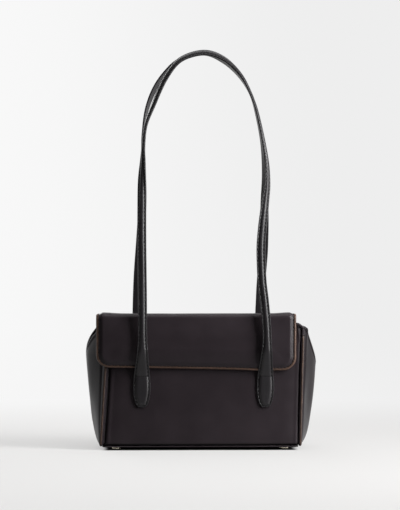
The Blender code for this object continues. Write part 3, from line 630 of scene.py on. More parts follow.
def gusset_point(side, u, v, inset=0.0):
    """A point of a gusset. u runs from the front seam (-1) to the back seam (1), v upward."""
    tip = GUSSET_TIP_HEIGHT[side]
    soft = GUSSET_TOP_SOFTNESS
    away = (math.hypot(u, soft) - soft) / (math.hypot(1, soft) - soft)
    top = tip + (MOUTH_HEIGHT - tip) * away ** GUSSET_TOP_POWER[side]
    if u < -0.8:
        top -= CORNER_DIP * float(smooth_step(-u, 0.80, 1.0)) ** 1.5
    z = PANEL_FOOT + (top - PANEL_FOOT) * v
    rise = min(1.0, (z - PANEL_FOOT) / (tip - PANEL_FOOT)) ** GUSSET_RISE_POWER[side]
    soft = GUSSET_FOLD_SOFTNESS
    away = (math.hypot(u, soft) - soft) / (math.hypot(1, soft) - soft)
    fold = 1 - away ** GUSSET_FOLD_POWER[side]
    seam = seam_x(side, FRONT, z) * (1 - u) / 2 + seam_x(side, BACK, z) * (1 + u) / 2
    ear = GUSSET_EAR[side] * bell(u + 0.90, 0.09) * max(0.0, v) ** 8
    x = seam + side * (SEAM_EDGE + GUSSET_REACH[side] * rise * fold + ear - inset)
    return x, u * (GUSSET_EDGE - PANEL_LEAN * height_share(z)), z


# The body's pieces
def make_front_panel():
    def place(v, u, depth):
        z = PANEL_FOOT + (MOUTH_HEIGHT - PANEL_FOOT) * v
        left = seam_x(LEFT, FRONT, z) + SEAM_INSET
        right = seam_x(RIGHT, FRONT, z) - SEAM_INSET
        x = left + (right - left) * u
        near = min(x - left, right - x)
        relief, dark = seam_relief(LEFT if u < 0.5 else RIGHT, near + SEAM_INSET, z)
        relief = (relief + pinch_folds(x, z)) * (1 if depth == 0 else 0.4)
        drop = edge_drop(z - PANEL_FOOT, 0.0034, 0.0016) + edge_drop(near, 0.022, 0.0024)
        y = panel_y(FRONT, z) - panel_sag(FRONT, x, z) - relief + drop + depth
        # Painted shade along the foot, where the panel meets the base, on top of the painted shade
        # in the seam grooves
        dark = max(dark, 1 - float(smooth_step(z, 0.0062, 0.0076)))
        return x, y, z - mouth_dip(x) * v**6, dark

    thick_sheet(
        "front_panel_leather", place, spaced(0, 1, 90, 0.8), spaced(0, 1, 190, 0.93),
        (0, PANEL_THICKNESS), BODY_LEATHER,
        body="body", replaces=("front_panel",), slot="body_leather",
    )


def make_gusset(side):
    name = SIDE_NAMES[side]

    def surface(v, u, inset):
        x, y, z = gusset_point(side, u, v, inset)
        wave = 0.0010 * ripple(y * 1.6, side, z, 26.0, 11.0 + side)
        wave *= (1 - abs(u) ** 3) * min(1.0, v * 4)
        pull = 0.0007 * math.sin(math.pi * min(1.0, v * 1.1)) * math.sin(math.pi * abs(u)) ** 2
        pinch = 0.0010 * bell((1 - abs(u)) * GUSSET_EDGE - 0.0030, 0.0016)
        return x + side * (wave - pull - pinch), y, z

    def lining(v, u, inset):
        return gusset_point(side, u * 0.93, v * 0.985, inset)

    thick_sheet(
        f"gusset_leather_{name}", surface, spaced(0, 1, 52, 0.5), spaced(-1, 1, 81, 0.5),
        (0, GUSSET_THICKNESS), GUSSET_LEATHER,
        body="body", replaces=(f"gusset_{name}",), slot="body_leather",
    )
    thick_sheet(
        f"gusset_inside_{name}", lining, spaced(0, 1, 26), spaced(-1, 1, 31),
        (0.0024, 0.0034), LINING,
        body="body", replaces=(f"gusset_lining_{name}",), slot="lining",
    )


def make_gusset_rim(side):
    """The bound upper edge of a gusset, and its row of stitches."""
    name = SIDE_NAMES[side]
    shares = np.linspace(-0.99, 0.99, 81)
    edge, below = (
        np.array([gusset_point(side, u, v, GUSSET_THICKNESS / 2) for u in shares])
        for v in (1.0, 0.97)
    )
    along = unit(np.gradient(edge, axis=0))
    up = square_to(edge - below, along)
    out = unit(np.cross(along, up))
    out = out * np.sign(out[:, :1]) * side
    centres = edge - up * 0.0008
    size = 0.45 + 0.55 * smooth_step(abs(shares), 0.0, 0.30)
    profile = rounded_profile(0.00125, 0.0019)[None] * size[:, None, None]
    sweep(
        f"gusset_rim_{name}", centres, out, up, profile, GUSSET_LEATHER,
        body="body", replaces=(f"gusset_binding_{name}",), slot="body_leather",
    )
    line = centres - up * 0.0004 + out * (0.00118 * size)[:, None]
    marks = marks_along(line, along, out, GUSSET_STITCH[0])[1:-1]
    stitches(
        f"gusset_stitches_{name}", marks, GUSSET_STITCH, THREAD, body="body", slot="body_leather"
    )


def welt_profile(half_width, proud, sunk):
    rise = [(-1, 0.45), (-0.86, 0.80), (-0.50, 0.98)]
    shares = rise + [(0, 1)] + [(-x, y) for x, y in reversed(rise)]
    face = [(half_width * x, proud * y) for x, y in shares]
    return np.array([(-half_width, -sunk), *face, (half_width, -sunk)])


def seam_axes(centres, side, end):
    """Across a corner seam, and out between the panel and the gusset."""
    along = unit(np.gradient(centres, axis=0))
    out = repeated(unit(np.array([side * 0.36, end * 0.93, 0.0])), len(centres))
    out = square_to(out, along)
    return np.cross(along, out), out


def make_welts(side, end):
    """A corner seam: panel and gusset meet edge to edge, and the raised edge is painted."""
    name = f"{END_NAMES[end]}_{SIDE_NAMES[side]}"
    top = PAINT_TOP if end == FRONT else MOUTH_HEIGHT + 0.0004
    set_back = SEAM_SET_BACK if end == FRONT else 0.0004
    heights = np.linspace(PANEL_FOOT - 0.0012, top, 60)
    centres = []
    for z in heights:
        x = seam_x(side, end, z) + side * (0.0002 if side == LEFT else 0.0005)
        x += 0.0002 * ripple(side, end, z, 60.0, 2.0)
        centres.append((x, panel_y(end, z) - end * set_back, z))
    centres = np.array(centres)
    size = np.minimum(1, (heights - heights[0]) / 0.0015 + 0.45)
    if end == FRONT:
        size = size * np.minimum(1, (top - heights) / 0.0060 + 0.25)
    for part, half, proud, material in (
        ("paint", 0.00115, 0.0017, SEAM_PAINT),
        ("leather", 0.00190, 0.0009, BODY_LEATHER),
    ):
        profile = welt_profile(half, proud, 0.0018)[None] * size[:, None, None]
        sweep(
            f"corner_seam_{part}_{name}", centres, *seam_axes(centres, side, end), profile,
            material, body="body", replaces=(f"corner_piping_{name}",), slot="painted_edge",
        )


def make_upper_seam(side):
    """The plain stretch of a front corner seam, from the end of the paint up to the mouth."""
    name = SIDE_NAMES[side]
    centres = np.array([
        (seam_x(side, FRONT, z) + side * 0.0006, panel_y(FRONT, z) + SEAM_SET_BACK, z)
        for z in np.linspace(PAINT_TOP - 0.0020, MOUTH_HEIGHT - 0.0040, 14)
    ])
    sweep(
        f"corner_seam_top_{name}", centres, *seam_axes(centres, side, FRONT),
        rounded_profile(0.0021, 0.0014), BODY_LEATHER,
        body="body", replaces=(f"corner_piping_front_{name}",), slot="body_leather",
    )


def make_mouth_binding():
    left, right = (seam_x(side, FRONT, MOUTH_HEIGHT) + 0.0006 for side in (LEFT, RIGHT))
    centres = []
    for x in np.linspace(left, right, 110):
        y = -0.0352 + 0.0002 * ripple(x, 0, 0, 40.0, 1.0)
        centres.append((x, y, MOUTH_HEIGHT - mouth_dip(x) - 0.0007))
    centres = np.array(centres)
    along = unit(np.gradient(centres, axis=0))
    across = repeated([0.0, -1.0, 0.0], len(centres))
    up = unit(np.cross(across, along))
    up = up * np.sign(up[:, 2:])
    sweep(
        "mouth_binding", centres, across, up, rounded_profile(0.0023, 0.0017, 3.2), BODY_LEATHER,
        body="body", replaces=("mouth_binding_front",), slot="body_leather",
    )
    marks = marks_along(centres + across * 0.00232 - up * 0.0005, along, across, MOUTH_STITCH[0])
    stitches("mouth_stitches", marks[1:-1], MOUTH_STITCH, THREAD, body="body", slot="body_leather")


def slab(name, profile, width, depth, radius, material, **options):
    """A flat piece with round corners; profile: (inset, height) from its underside up."""
    rings = []
    for inset, z in profile:
        ring = []
        half_x, half_y, r = width / 2 - inset, depth / 2 - inset, max(0.0004, radius - inset)
        for quarter in range(4):
            cx = (half_x - r) * (1 if quarter in (0, 3) else -1)
            cy = (half_y - r) * (1 if quarter in (0, 1) else -1)
            for angle in (quarter + np.linspace(0, 1, 9)) * math.pi / 2:
                ring.append((cx + r * math.cos(angle), cy + r * math.sin(angle), z))
        rings.append(ring)
    return tube(name, rings, material, **options)


def rounded_edge(under, top, radius):
    profile = []
    for angle in np.linspace(0, math.pi / 2, 5):
        profile.append((radius * (1 - math.sin(angle)), under + radius * (1 - math.cos(angle))))
    return profile + [(inset, under + top - z) for inset, z in reversed(profile)]


def make_base():
    slab(
        "base_leather", [(0.004, 0.0031)] + rounded_edge(0.0031, 0.0047, 0.0010),
        0.2225, 0.0792, 0.007, BODY_LEATHER,
        body="body", replaces=("base_panel",), slot="body_leather",
    )
    slab(
        "base_inside", rounded_edge(0.0086, 0.0094, 0.0003), 0.2176, 0.0690, 0.006, LINING,
        body="body", replaces=("base_lining",), slot="lining",
    )


def lathe(name, profile, x, y, material, steps=40, **options):
    verts = [(x, y, profile[0][1])]
    for r, z in profile[1:-1]:
        for angle in 2 * math.pi * np.arange(steps) / steps:
            verts.append((x + r * math.cos(angle), y + r * math.sin(angle), z))
    verts.append((x, y, profile[-1][1]))
    last = 1 + (len(profile) - 3) * steps
    faces = []
    for k in range(steps):
        m = (k + 1) % steps
        faces.append((0, 1 + m, 1 + k))
        faces += [(a + k, a + m, a + steps + m, a + steps + k) for a in range(1, last, steps)]
        faces.append((last + k, last + m, len(verts) - 1))
    return add_mesh(name, verts, faces, material, **options)


def make_feet():
    """Four metal feet: a disc with an upright rim, and a pin up into the base board."""
    profile = [(0, 0), (0.0044, 0), (0.0048, 0.0002), (0.0050, 0.0006), (0.0050, 0.0018)]
    profile += [(0.0050, 0.0026), (0.0048, 0.0030), (0.0042, 0.0032), (0.0034, 0.0032)]
    profile += [(0.0013, 0.0032), (0.0013, 0.0080), (0, 0.0080)]
    for end in (FRONT, BACK):
        for side in (LEFT, RIGHT):
            name = f"{END_NAMES[end]}_{SIDE_NAMES[side]}"
            lathe(
                f"metal_foot_{name}", profile, side * 0.095, end * 0.027, FOOT_METAL,
                body="body", replaces=(f"foot_{name}",), slot="foot_metal",
            )


def colour_carried_nodes():
    """Procedural materials for the CAD nodes that stay as they are."""
    materials = {"base_board": BOARD, "panel_magnet": MAGNET_METAL, "flap_magnet": MAGNET_METAL}
    for end in END_NAMES.values():
        for side in SIDE_NAMES.values():
            materials[f"foot_washer_{end}_{side}"] = FOOT_METAL
            materials[f"strap_patch_{end}_{side}"] = BOARD
    for node, material in materials.items():
        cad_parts[node].material_slots[0].material = material


def make_panel_lining(end):
    def place(v, u, depth):
        z = 0.0060 + (0.1425 - 0.0060) * v
        left, right = seam_x(LEFT, end, z) + 0.0030, seam_x(RIGHT, end, z) - 0.0030
        x = left + (right - left) * u
        wave = 0.0002 * ripple(x, end, z, 45.0, 7.0)
        return x, panel_y(end, z) - end * (depth + wave), z

    thick_sheet(
        f"{END_NAMES[end]}_inside", place, spaced(0, 1, 30), spaced(0, 1, 50),
        (0.0042, 0.0050), LINING,
        body="body", replaces=(f"{END_NAMES[end]}_lining",), slot="lining",
    )


def make_pocket():
    """The slip pocket on the back lining, with its bound top and its stitches."""
    half_width, foot, height = 0.075, 0.030, 0.085

    def place(v, u, depth):
        z = foot + height * v
        slack = 0.0004 * math.sin(math.pi * u) * v
        return (2 * u - 1) * half_width, panel_y(BACK, z) - depth - slack, z

    cloth = thick_sheet(
        "slip_pocket_cloth", place, spaced(0, 1, 20), spaced(0, 1, 30), (0.0053, 0.0059), LINING,
        body="body", replaces=("slip_pocket",), slot="lining",
    )
    y = panel_y(BACK, foot + height) - 0.0058
    centres = np.array([
        (x, y - 0.0004 * math.sin(math.pi * (x + half_width) / (2 * half_width)), 0.1146)
        for x in np.linspace(-0.0755, 0.0755, 60)
    ])
    across = repeated([0.0, -1.0, 0.0], len(centres))
    up = repeated([0.0, 0.0, 1.0], len(centres))
    sweep(
        "pocket_binding", centres, across, up, rounded_profile(0.0007, 0.0022), BODY_LEATHER,
        body="body", slot="body_leather",
    )
    pitch, low, side = POCKET_STITCH[0], 0.0315, 0.0735
    spots = [(x, z, (0, 0, 1)) for z in np.arange(0.0325, 0.112, pitch) for x in (-side, side)]
    spots += [(x, low, (1, 0, 0)) for x in np.arange(-0.0710, 0.072, pitch)]
    marks = [((x, panel_y(BACK, z) - 0.0060, z), along, (0, -1, 0)) for x, z, along in spots]
    stitches("pocket_stitches", marks, POCKET_STITCH, THREAD, body="body", slot="lining")


# The flap's surface
def side_distance(x, s):
    """How far a flat place lies in from the flap's free outline."""
    side = min(x - FLAP_LEFT, FLAP_RIGHT - x)
    foot = FLAP_LENGTH - s
    if side < CORNER_RADIUS and foot < CORNER_RADIUS:
        return CORNER_RADIUS - math.hypot(CORNER_RADIUS - side, CORNER_RADIUS - foot)
    return min(side, foot)


def flap_crown(x, s):
    """The soft face between the stitched edges: it swells in from the groove."""
    inside = side_distance(x, s)
    swell = 0.00155 * float(smooth_step(inside, 0.0034, 0.0078))
    settle = -0.0011 * float(smooth_step(inside, 0.007, 0.030))
    groove = -0.00035 * bell(inside - FLAP_STITCH_INSET, 0.0008)
    lip = 0.00012 * bell(inside - 0.0018, 0.0007)
    puff = smooth_step(FLAP_RIGHT - x, 0.006, 0.042) * smooth_step(x - FLAP_LEFT, 0.006, 0.034)
    puff *= smooth_step(s, TOP_LENGTH, TOP_LENGTH + 0.030)
    puff *= smooth_step(FLAP_LENGTH - s, 0.005, 0.024)
    return swell + settle + groove + lip + PUFF * float(puff)


def top_sag(x, y):
    """How far the flap's top sinks behind its front bend."""
    back = y - FRONT_BEND_Y
    middle = math.sin(math.pi * min(1.0, max(0.0, back / 0.0687)))
    sag = 0.0006 * middle * math.cos(math.pi * x / 0.26) ** 2
    return sag + BACK_FALL * float(smooth_step(back, 0.0, 0.045))


def soft_ripple(x, s):
    return 0.00030 * ripple(x, s, 0, 26.0, 5.0)


def flap_place(x, s, h):
    """A place of the flap: x across, s along, h out of its middle surface."""
    level = h + flap_crown(x, s) if h > 0 else h
    if s > BEND_END:
        foot = float(np.interp(x, *zip(*FOOT_LINE)))
        s = BEND_END + (s - BEND_END) * (BEND_Z - foot) / (BEND_Z - FLAP_FOOT)
    level += soft_ripple(x, s)
    if s <= TOP_LENGTH:
        y = FLAP_START_Y - s
        return x, y, FLAP_TOP - FLAP_HALF + level - top_sag(x, y)
    turned = max(0.0, x - 0.050) / 0.0585
    curl = 0.0020 * turned**2 + 0.0006 * max(0.0, 1 - (x - FLAP_LEFT) / 0.010) ** 2
    if s < BEND_END:
        angle = (s - TOP_LENGTH) / MID_RADIUS
        radius = MID_RADIUS + level - curl * math.sin(angle)
        return x, FRONT_BEND_Y - radius * math.sin(angle), BEND_Z + radius * math.cos(angle)
    return x, FRONT_BEND_Y - MID_RADIUS - level + curl, BEND_Z - (s - BEND_END)


def flap_outline(inset, step=0.0016):
    """The free outline of the flap's front part in flat places, with its inward normals."""
    left, right = FLAP_LEFT + inset, FLAP_RIGHT - inset
    foot = FLAP_LENGTH - inset
    r = CORNER_RADIUS - inset
    turn = [(math.cos(angle), math.sin(angle)) for angle in np.linspace(0, math.pi / 2, 12)]
    points = [(left, s, 1.0, 0.0) for s in np.arange(0, foot - r, step)]
    points += [(left + r - r * c, foot - r + r * d, c, -d) for c, d in turn]
    points += [(x, foot, 0.0, -1.0) for x in np.arange(left + r + step, right - r, step)]
    points += [(right - r + r * c, foot - r + r * d, -c, -d) for c, d in reversed(turn)]
    for s in np.arange(foot - r - step, -1e-9, -step):
        points.append((right, max(s, 0.0), -1.0, 0.0))
    return points


def edge_rim_profile():
    """(distance in from the edge, height) of the painted edge, as a closed loop."""
    points = []
    for angle in np.linspace(-math.pi / 2, math.pi / 2, 13):
        points.append((0.0017 * (1 - math.cos(angle)), FLAP_HALF * math.sin(angle)))
    top = [(0.0019, FLAP_HALF - 0.00002), (0.0022, FLAP_HALF - 0.0003)]
    return points + top + [(a, -h) for a, h in reversed(top)]


def flap_mark(x, s, dx, ds, h):
    """A stitch on the flap: its centre, direction and outward normal."""
    centre = np.array(flap_place(x, s, h))
    ahead = np.array(flap_place(x + dx * 1e-4, s + ds * 1e-4, h))
    outside = np.array(flap_place(x, s, h + 1e-4))
    return centre, ahead - centre, outside - centre


def flap_sheet(name, h, material, rows, columns):
    """One face of the flap as a grid that ends a little inside the outline."""
    radius = CORNER_RADIUS - EDGE_COVER
    foot = FLAP_LENGTH - EDGE_COVER
    verts = []
    tints = []
    for s in np.minimum(rows, foot):
        over = max(0.0, s - (foot - radius))
        draw = EDGE_COVER + radius - math.sqrt(max(0.0, radius**2 - over**2))
        left, right = FLAP_LEFT + draw, FLAP_RIGHT - draw
        for x in left + (right - left) * columns:
            verts.append(flap_place(x, s, h))
            tints.append(1 - smooth_step(side_distance(x, s), 0.0020, 0.0034))
    faces = grid_faces(len(rows), len(columns), flip=h < 0)
    obj = add_mesh(name, verts, faces, material, solid=False)
    set_tint(obj, tints)
    return obj


# The flap's pieces
def bend_front(obj):
    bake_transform(obj)


def bend_back(obj):
    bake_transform(obj)


def make_flap_front():
    radius = CORNER_RADIUS - EDGE_COVER
    corner = np.sin(np.linspace(0, math.pi / 2, 12)[1:])
    rows = np.concatenate([
        np.linspace(0, TOP_LENGTH, 20),
        np.linspace(TOP_LENGTH, BEND_END, 11)[1:],
        np.linspace(BEND_END, FLAP_LENGTH - CORNER_RADIUS, 34)[1:],
        FLAP_LENGTH - EDGE_COVER - radius + radius * corner,
    ])
    columns = spaced(0, 1, 150, 0.7)
    face = flap_sheet("flap_face", FLAP_HALF, FLAP_LEATHER, rows, columns)
    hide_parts("flap_drop_outer", "flap_drop_stiffener")
    bend_front(face)
    back = flap_sheet("flap_inside", -FLAP_HALF + 0.00015, LINING, rows, columns)
    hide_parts("flap_drop_lining")
    bend_front(back)

    rings = [
        [flap_place(x + nx * a, s + ns * a, h) for a, h in edge_rim_profile()]
        for x, s, nx, ns in flap_outline(0.0)
    ]
    bend_front(tube("flap_painted_edge", rings, EDGE_PAINT, slot="painted_edge"))

    points = [(x, s, 0.0) for x, s, _, _ in flap_outline(FLAP_STITCH_INSET, 0.0004)]
    line, _ = resample(points, FLAP_STITCH[0])
    marks = []
    for before, here, after in zip(line, line[1:], line[2:]):
        dx, ds = unit(after[:2] - before[:2])
        marks.append(flap_mark(here[0], here[1], dx, ds, FLAP_HALF + 0.00010))
    bend_front(stitches("flap_stitches", marks, FLAP_STITCH, THREAD, slot="body_leather"))


def top_turn(s):
    """How far the back panel has turned into the flap's top, s up from its foot."""
    return float(smooth_step(s, BACK_RISE - 0.004, BACK_BEND_END + 0.010))


def back_place(s, x_share, depth):
    """A place of the back panel and the flap's top behind the middle, s from the foot up."""
    if depth > 0:
        depth += 0.0013 * smooth_step(s, BACK_RISE, BACK_BEND_END)
    z_side = min(PANEL_FOOT + s, MOUTH_HEIGHT)
    left = seam_x(LEFT, BACK, z_side) + 0.0012
    right = seam_x(RIGHT, BACK, z_side) - 0.0012
    turn = top_turn(s)
    left += (FLAP_LEFT + 0.0022 - left) * turn
    right += (FLAP_RIGHT - 0.0022 - right) * turn
    x = left + (right - left) * x_share
    drop = edge_drop(min(x - left, right - x), 0.0042, 0.0013) * (1 - turn)
    if s < BACK_RISE:
        z = PANEL_FOOT + s
        drop += edge_drop(s, 0.0040, 0.0011)
        sag = panel_sag(BACK, x, z) * (1 - smooth_step(z, 0.125, MOUTH_HEIGHT))
        y = panel_y(BACK, min(z, MOUTH_HEIGHT)) + sag - drop - depth
        return x, y, PANEL_FOOT + s * (1 - BACK_FALL / BACK_RISE)
    if s < BACK_BEND_END:
        angle = (s - BACK_RISE) / BEND_OUTER_RADIUS
        radius = BEND_OUTER_RADIUS - depth - drop
        z = BEND_Z - BACK_FALL + radius * math.sin(angle)
        return x, BACK_BEND_Y + radius * math.cos(angle), z
    past = s - BACK_BEND_END
    y = BACK_BEND_Y - past
    soft = soft_ripple(x, FLAP_START_Y - y) * smooth_step(past, 0, 0.012)
    tuck = 0.00015 * float(smooth_step(FLAP_START_Y - y, 0.0, 0.0006))
    return x, y, FLAP_TOP - depth + flap_crown(x, 0.0) * turn + soft - tuck - top_sag(x, y)


def make_back():
    """The back panel and the back half of the flap's top, which are one sheet of leather."""
    total = BACK_BEND_END + BACK_BEND_Y - FLAP_START_Y
    rows = np.concatenate([
        spaced(0, BACK_RISE, 50, 0.6),
        np.linspace(BACK_RISE, BACK_BEND_END, 10)[1:],
        np.linspace(BACK_BEND_END, total, 20)[1:],
        [total + 0.0006, total + 0.0030],
    ])
    sheet = thick_sheet(
        "back_leather", back_place, rows, spaced(0, 1, 110, 0.8), (0, PANEL_THICKNESS),
        FLAP_LEATHER, slot="body_leather",
    )
    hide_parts("back_panel", "flap_top_outer", "flap_top_stiffener")
    bend_back(sheet)

    def under(v, u, depth):
        y = 0.0290 + (FLAP_START_Y - 0.0290) * v
        x = FLAP_LEFT + 0.0024 + (FLAP_RIGHT - FLAP_LEFT - 0.0048) * u
        return x, y, FLAP_TOP - depth - top_sag(x, y)

    lining = thick_sheet(
        "flap_top_inside", under, spaced(0, 1, 14), spaced(0, 1, 40), (0.0033, 0.0037), LINING,
        slot="lining",
    )
    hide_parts("flap_top_lining")
    bend_back(lining)


def make_top_edge(side):
    """The painted edge of the flap's top behind the middle, and its row of stitches."""
    name = SIDE_NAMES[side]
    flap_edge = FLAP_LEFT if side == LEFT else FLAP_RIGHT
    seam = seam_x(side, BACK, MOUTH_HEIGHT)
    rings = []
    for y in np.linspace(0.0330, FLAP_START_Y, 30):
        angle = math.asin(min(1.0, max(0.0, y - BACK_BEND_Y) / MID_RADIUS))
        past = BEND_OUTER_RADIUS * angle if y > BACK_BEND_Y else y - BACK_BEND_Y
        turn = top_turn(BACK_BEND_END - past)
        edge = seam + (flap_edge - seam) * turn
        z = BEND_Z + MID_RADIUS * math.cos(angle) - top_sag(edge, y)
        grow = 0.25 + 0.75 * turn
        rings.append([
            (edge - side * a * grow, y + h * grow * math.sin(angle), z + h * grow * math.cos(angle))
            for a, h in edge_rim_profile()
        ])
    bend_back(tube(f"flap_top_edge_{name}", rings, EDGE_PAINT, slot="painted_edge"))
    marks = []
    for y in np.arange(FLAP_START_Y + 0.002, 0.020, TOP_STITCH[0]):
        z = FLAP_TOP - 0.00015 - top_sag(flap_edge, y)
        marks.append(((flap_edge - side * FLAP_STITCH_INSET, y, z), (0, 1, 0), (0, 0, 1)))
    bend_back(
        stitches(f"flap_top_stitches_{name}", marks, TOP_STITCH, THREAD, slot="body_leather")
    )


# Straps
def strap_reach(z):
    """How far out from the middle of the bag a strap stands."""
    if z < STRAP_RISE_END:
        share = float(smooth_step(z, STRAP_RISE_START, STRAP_RISE_END))
        seat = abs(panel_y(FRONT, min(z, STRAP_RISE_START))) + STRAP_SEAT
        return seat + (STRAP_STAND - seat) * share
    length = STRAP_TOP_HEIGHT - STRAP_LEAN_HEIGHT
    over, start = ((height - STRAP_LEAN_HEIGHT) / length for height in (z, STRAP_RISE_END))
    share = over + math.hypot(over, STRAP_LEAN_SOFTNESS)
    share -= start + math.hypot(start, STRAP_LEAN_SOFTNESS)
    return STRAP_STAND + (STRAP_TOP_REACH - STRAP_STAND) * min(1.0, share / 2)


def smooth_rows(rows, steps):
    """A smooth curve through rows of numbers, with `steps` samples to each stretch."""
    rows = np.array(rows, float)
    padded = [rows[0], *rows, rows[-1]]
    samples = []
    for before, start, stop, after in zip(padded, padded[1:], padded[2:], padded[3:]):
        for t in np.arange(steps) / steps:
            lift = 2 * t**3 - 3 * t**2
            sample = start * (1 + lift) - stop * lift
            sample += (stop - before) / 2 * (t**3 - 2 * t**2 + t)
            samples.append(sample + (after - start) / 2 * (t**3 - t**2))
    return [*samples, rows[-1]]


def strap_line(end, route):
    """Even stations along a strap, tab tip to tab tip, with their axes and half widths."""
    middle = (seam_x(LEFT, end, SEWN_HEIGHT) + seam_x(RIGHT, end, SEWN_HEIGHT)) / 2
    foot = np.linspace(TAB_TIP_HEIGHT, SEWN_HEIGHT, 30)
    rows = [(-1.0, z, 0.0) for z in foot[:-1]]
    for x_share, z_share, turn in smooth_rows(route, 40):
        z = SEWN_HEIGHT + (STRAP_TOP_HEIGHT - SEWN_HEIGHT) * z_share
        rows.append((x_share, z, math.radians(turn)))
    rows += [(1.0, z, 0.0) for z in foot[-2::-1]]
    rows = [(middle + STRAP_HALF_SPACING * x, end * strap_reach(z), z, turn) for x, z, turn in rows]
    stations, travelled = resample(rows, 0.00115)
    ends = np.array(TIP_STEPS)
    goals = np.concatenate([ends, travelled[2:-2], travelled[-1] - ends[::-1]])
    stations = np.stack([np.interp(goals, travelled, column) for column in stations.T], axis=1)
    places, turns = stations[:, :3], stations[:, 3:]
    along = unit(np.gradient(places, axis=0))
    away = square_to(repeated([0.0, float(end), 0.0], len(places)), along)
    outward = unit(np.cross(along, [0.0, 1.0, 0.0]))
    normal = away * np.cos(turns) + outward * np.sin(turns)
    across = unit(np.cross(along, normal))
    half = np.interp(places[:, 2], *zip(*TAB_WIDTHS)) / 2
    tip = np.minimum(goals, goals[-1] - goals)
    return places, along, across, normal, half, tip


def strap_profile(places, half, tip):
    """The strap's section at each station: narrower with its width, and round at its tips."""
    depths, tops, unders = zip(*SECTION)
    rings = []
    for z, width, end_distance in zip(places[:, 2], half, tip):
        upper = []
        under = []
        for depth in depths:
            d = depth * min(1.0, width / NARROW_HALF)
            if width > NARROW_HALF and depth > SHOULDER:
                d = SHOULDER + (depth - SHOULDER) * (width - SHOULDER) / (NARROW_HALF - SHOULDER)
            nearest = min(d, end_distance + 0.00002)
            top = np.interp(nearest, depths, tops)
            if abs(z - SEWN_HEIGHT) < SEWN_DENT_REACH and d > SEWN_EDGE:
                top -= 0.00030 * (1 - abs(z - SEWN_HEIGHT) / SEWN_DENT_REACH)
            upper.append((width - d, top))
            under.append((width - d, np.interp(nearest, depths, unders)))
        section = upper + [(-x, level) for x, level in reversed(upper[:-1])]
        section += [(-x, level) for x, level in under] + list(reversed(under[:-1]))
        rings.append(section)
    return np.array(rings)


def strap_painted_shade(profile, places):
    """Painted shade: darker colour in the stitched grooves and along the sewn line."""
    width = np.max(profile[:, :, 0], axis=1)[:, None]
    depth = width - abs(profile[:, :, 0])
    groove = np.exp(-(((depth - STRAP_STITCH_INSET) / 0.00042) ** 2)) * (profile[:, :, 1] > -0.0003)
    line = np.exp(-(((places[:, 2:3] - SEWN_HEIGHT) / 0.0007) ** 2)) * (depth > SEWN_EDGE)
    return np.maximum(groove * 0.25, line * 0.45)


def strap_marks(places, along, across, normal, half, tip):
    """Stitches along both edges, round the tips of the tabs and across the sewn lines."""
    marks = []
    keep = tip > 0.0022
    for sign in (-1, 1):
        reach = sign * (half - STRAP_STITCH_INSET)
        line = places + across * reach[:, None] + normal * 0.00024
        marks += marks_along(line[keep], along[keep], normal[keep], STRAP_STITCH[0])
    middle = len(places) // 2
    off_line = abs(places[:, 2] - SEWN_HEIGHT)
    sewn = (int(np.argmin(off_line[:middle])), middle + int(np.argmin(off_line[middle:])))
    for stations, inset, shares, level in (
        (np.flatnonzero(tip > 0.0016)[[0, -1]], STRAP_STITCH_INSET, (-0.54, 0.54), 0.00018),
        (sewn, 0.0036, np.linspace(-0.85, 0.85, 5), 0.00108),
    ):
        for index in stations:
            for share in shares:
                reach = share * (half[index] - inset)
                centre = places[index] + across[index] * reach + normal[index] * level
                marks.append((centre, across[index], normal[index]))
    return marks


def bend_strap(obj):
    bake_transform(obj)


def make_strap(end, route):
    name = END_NAMES[end]
    places, along, across, normal, half, tip = strap_line(end, route)
    profile = strap_profile(places, half, tip)
    strap = sweep(
        f"{name}_strap_leather", places, across, normal, profile, STRAP_LEATHER,
        slot="strap_leather",
    )
    # Painted shade in the stitched grooves and along the sewn lines
    set_tint(strap, strap_painted_shade(profile, places))
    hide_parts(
        f"{name}_strap_face", f"{name}_strap_filler", f"{name}_strap_backing",
        f"strap_tab_{name}_left", f"strap_tab_{name}_right",
    )
    bend_strap(strap)
    marks = strap_marks(places, along, across, normal, half, tip)
    thread = stitches(
        f"{name}_strap_stitches", marks, STRAP_STITCH, STRAP_THREAD, slot="strap_leather"
    )
    bend_strap(thread)


# The studio
def seen_rays(tree, y, start, stop):
    """1 for the rays that show the background: camera, glossy and transmission rays.

    Glossy rays fade in from start to stop, so that in front of the bag they meet the paper
    only as the lamps light it.
    """
    rays = add_node(tree, "LightPath").outputs
    glossy = calculate(tree, "MULTIPLY", rays["Is Glossy Ray"], ranged(tree, y, start, stop))
    return largest(tree, rays["Is Camera Ray"], glossy, rays["Is Transmission Ray"])


def outside_painted_shadow(tree, x, y):
    """0 on the floor under the bag and 1 a little way out: where the shadow under the bag is
    painted, and the glow is off.
    """
    return largest(
        tree,
        ranged(tree, calculate(tree, "ABSOLUTE", x), 0.104, 0.112),
        ranged(tree, calculate(tree, "ABSOLUTE", y), 0.037, 0.045),
    )


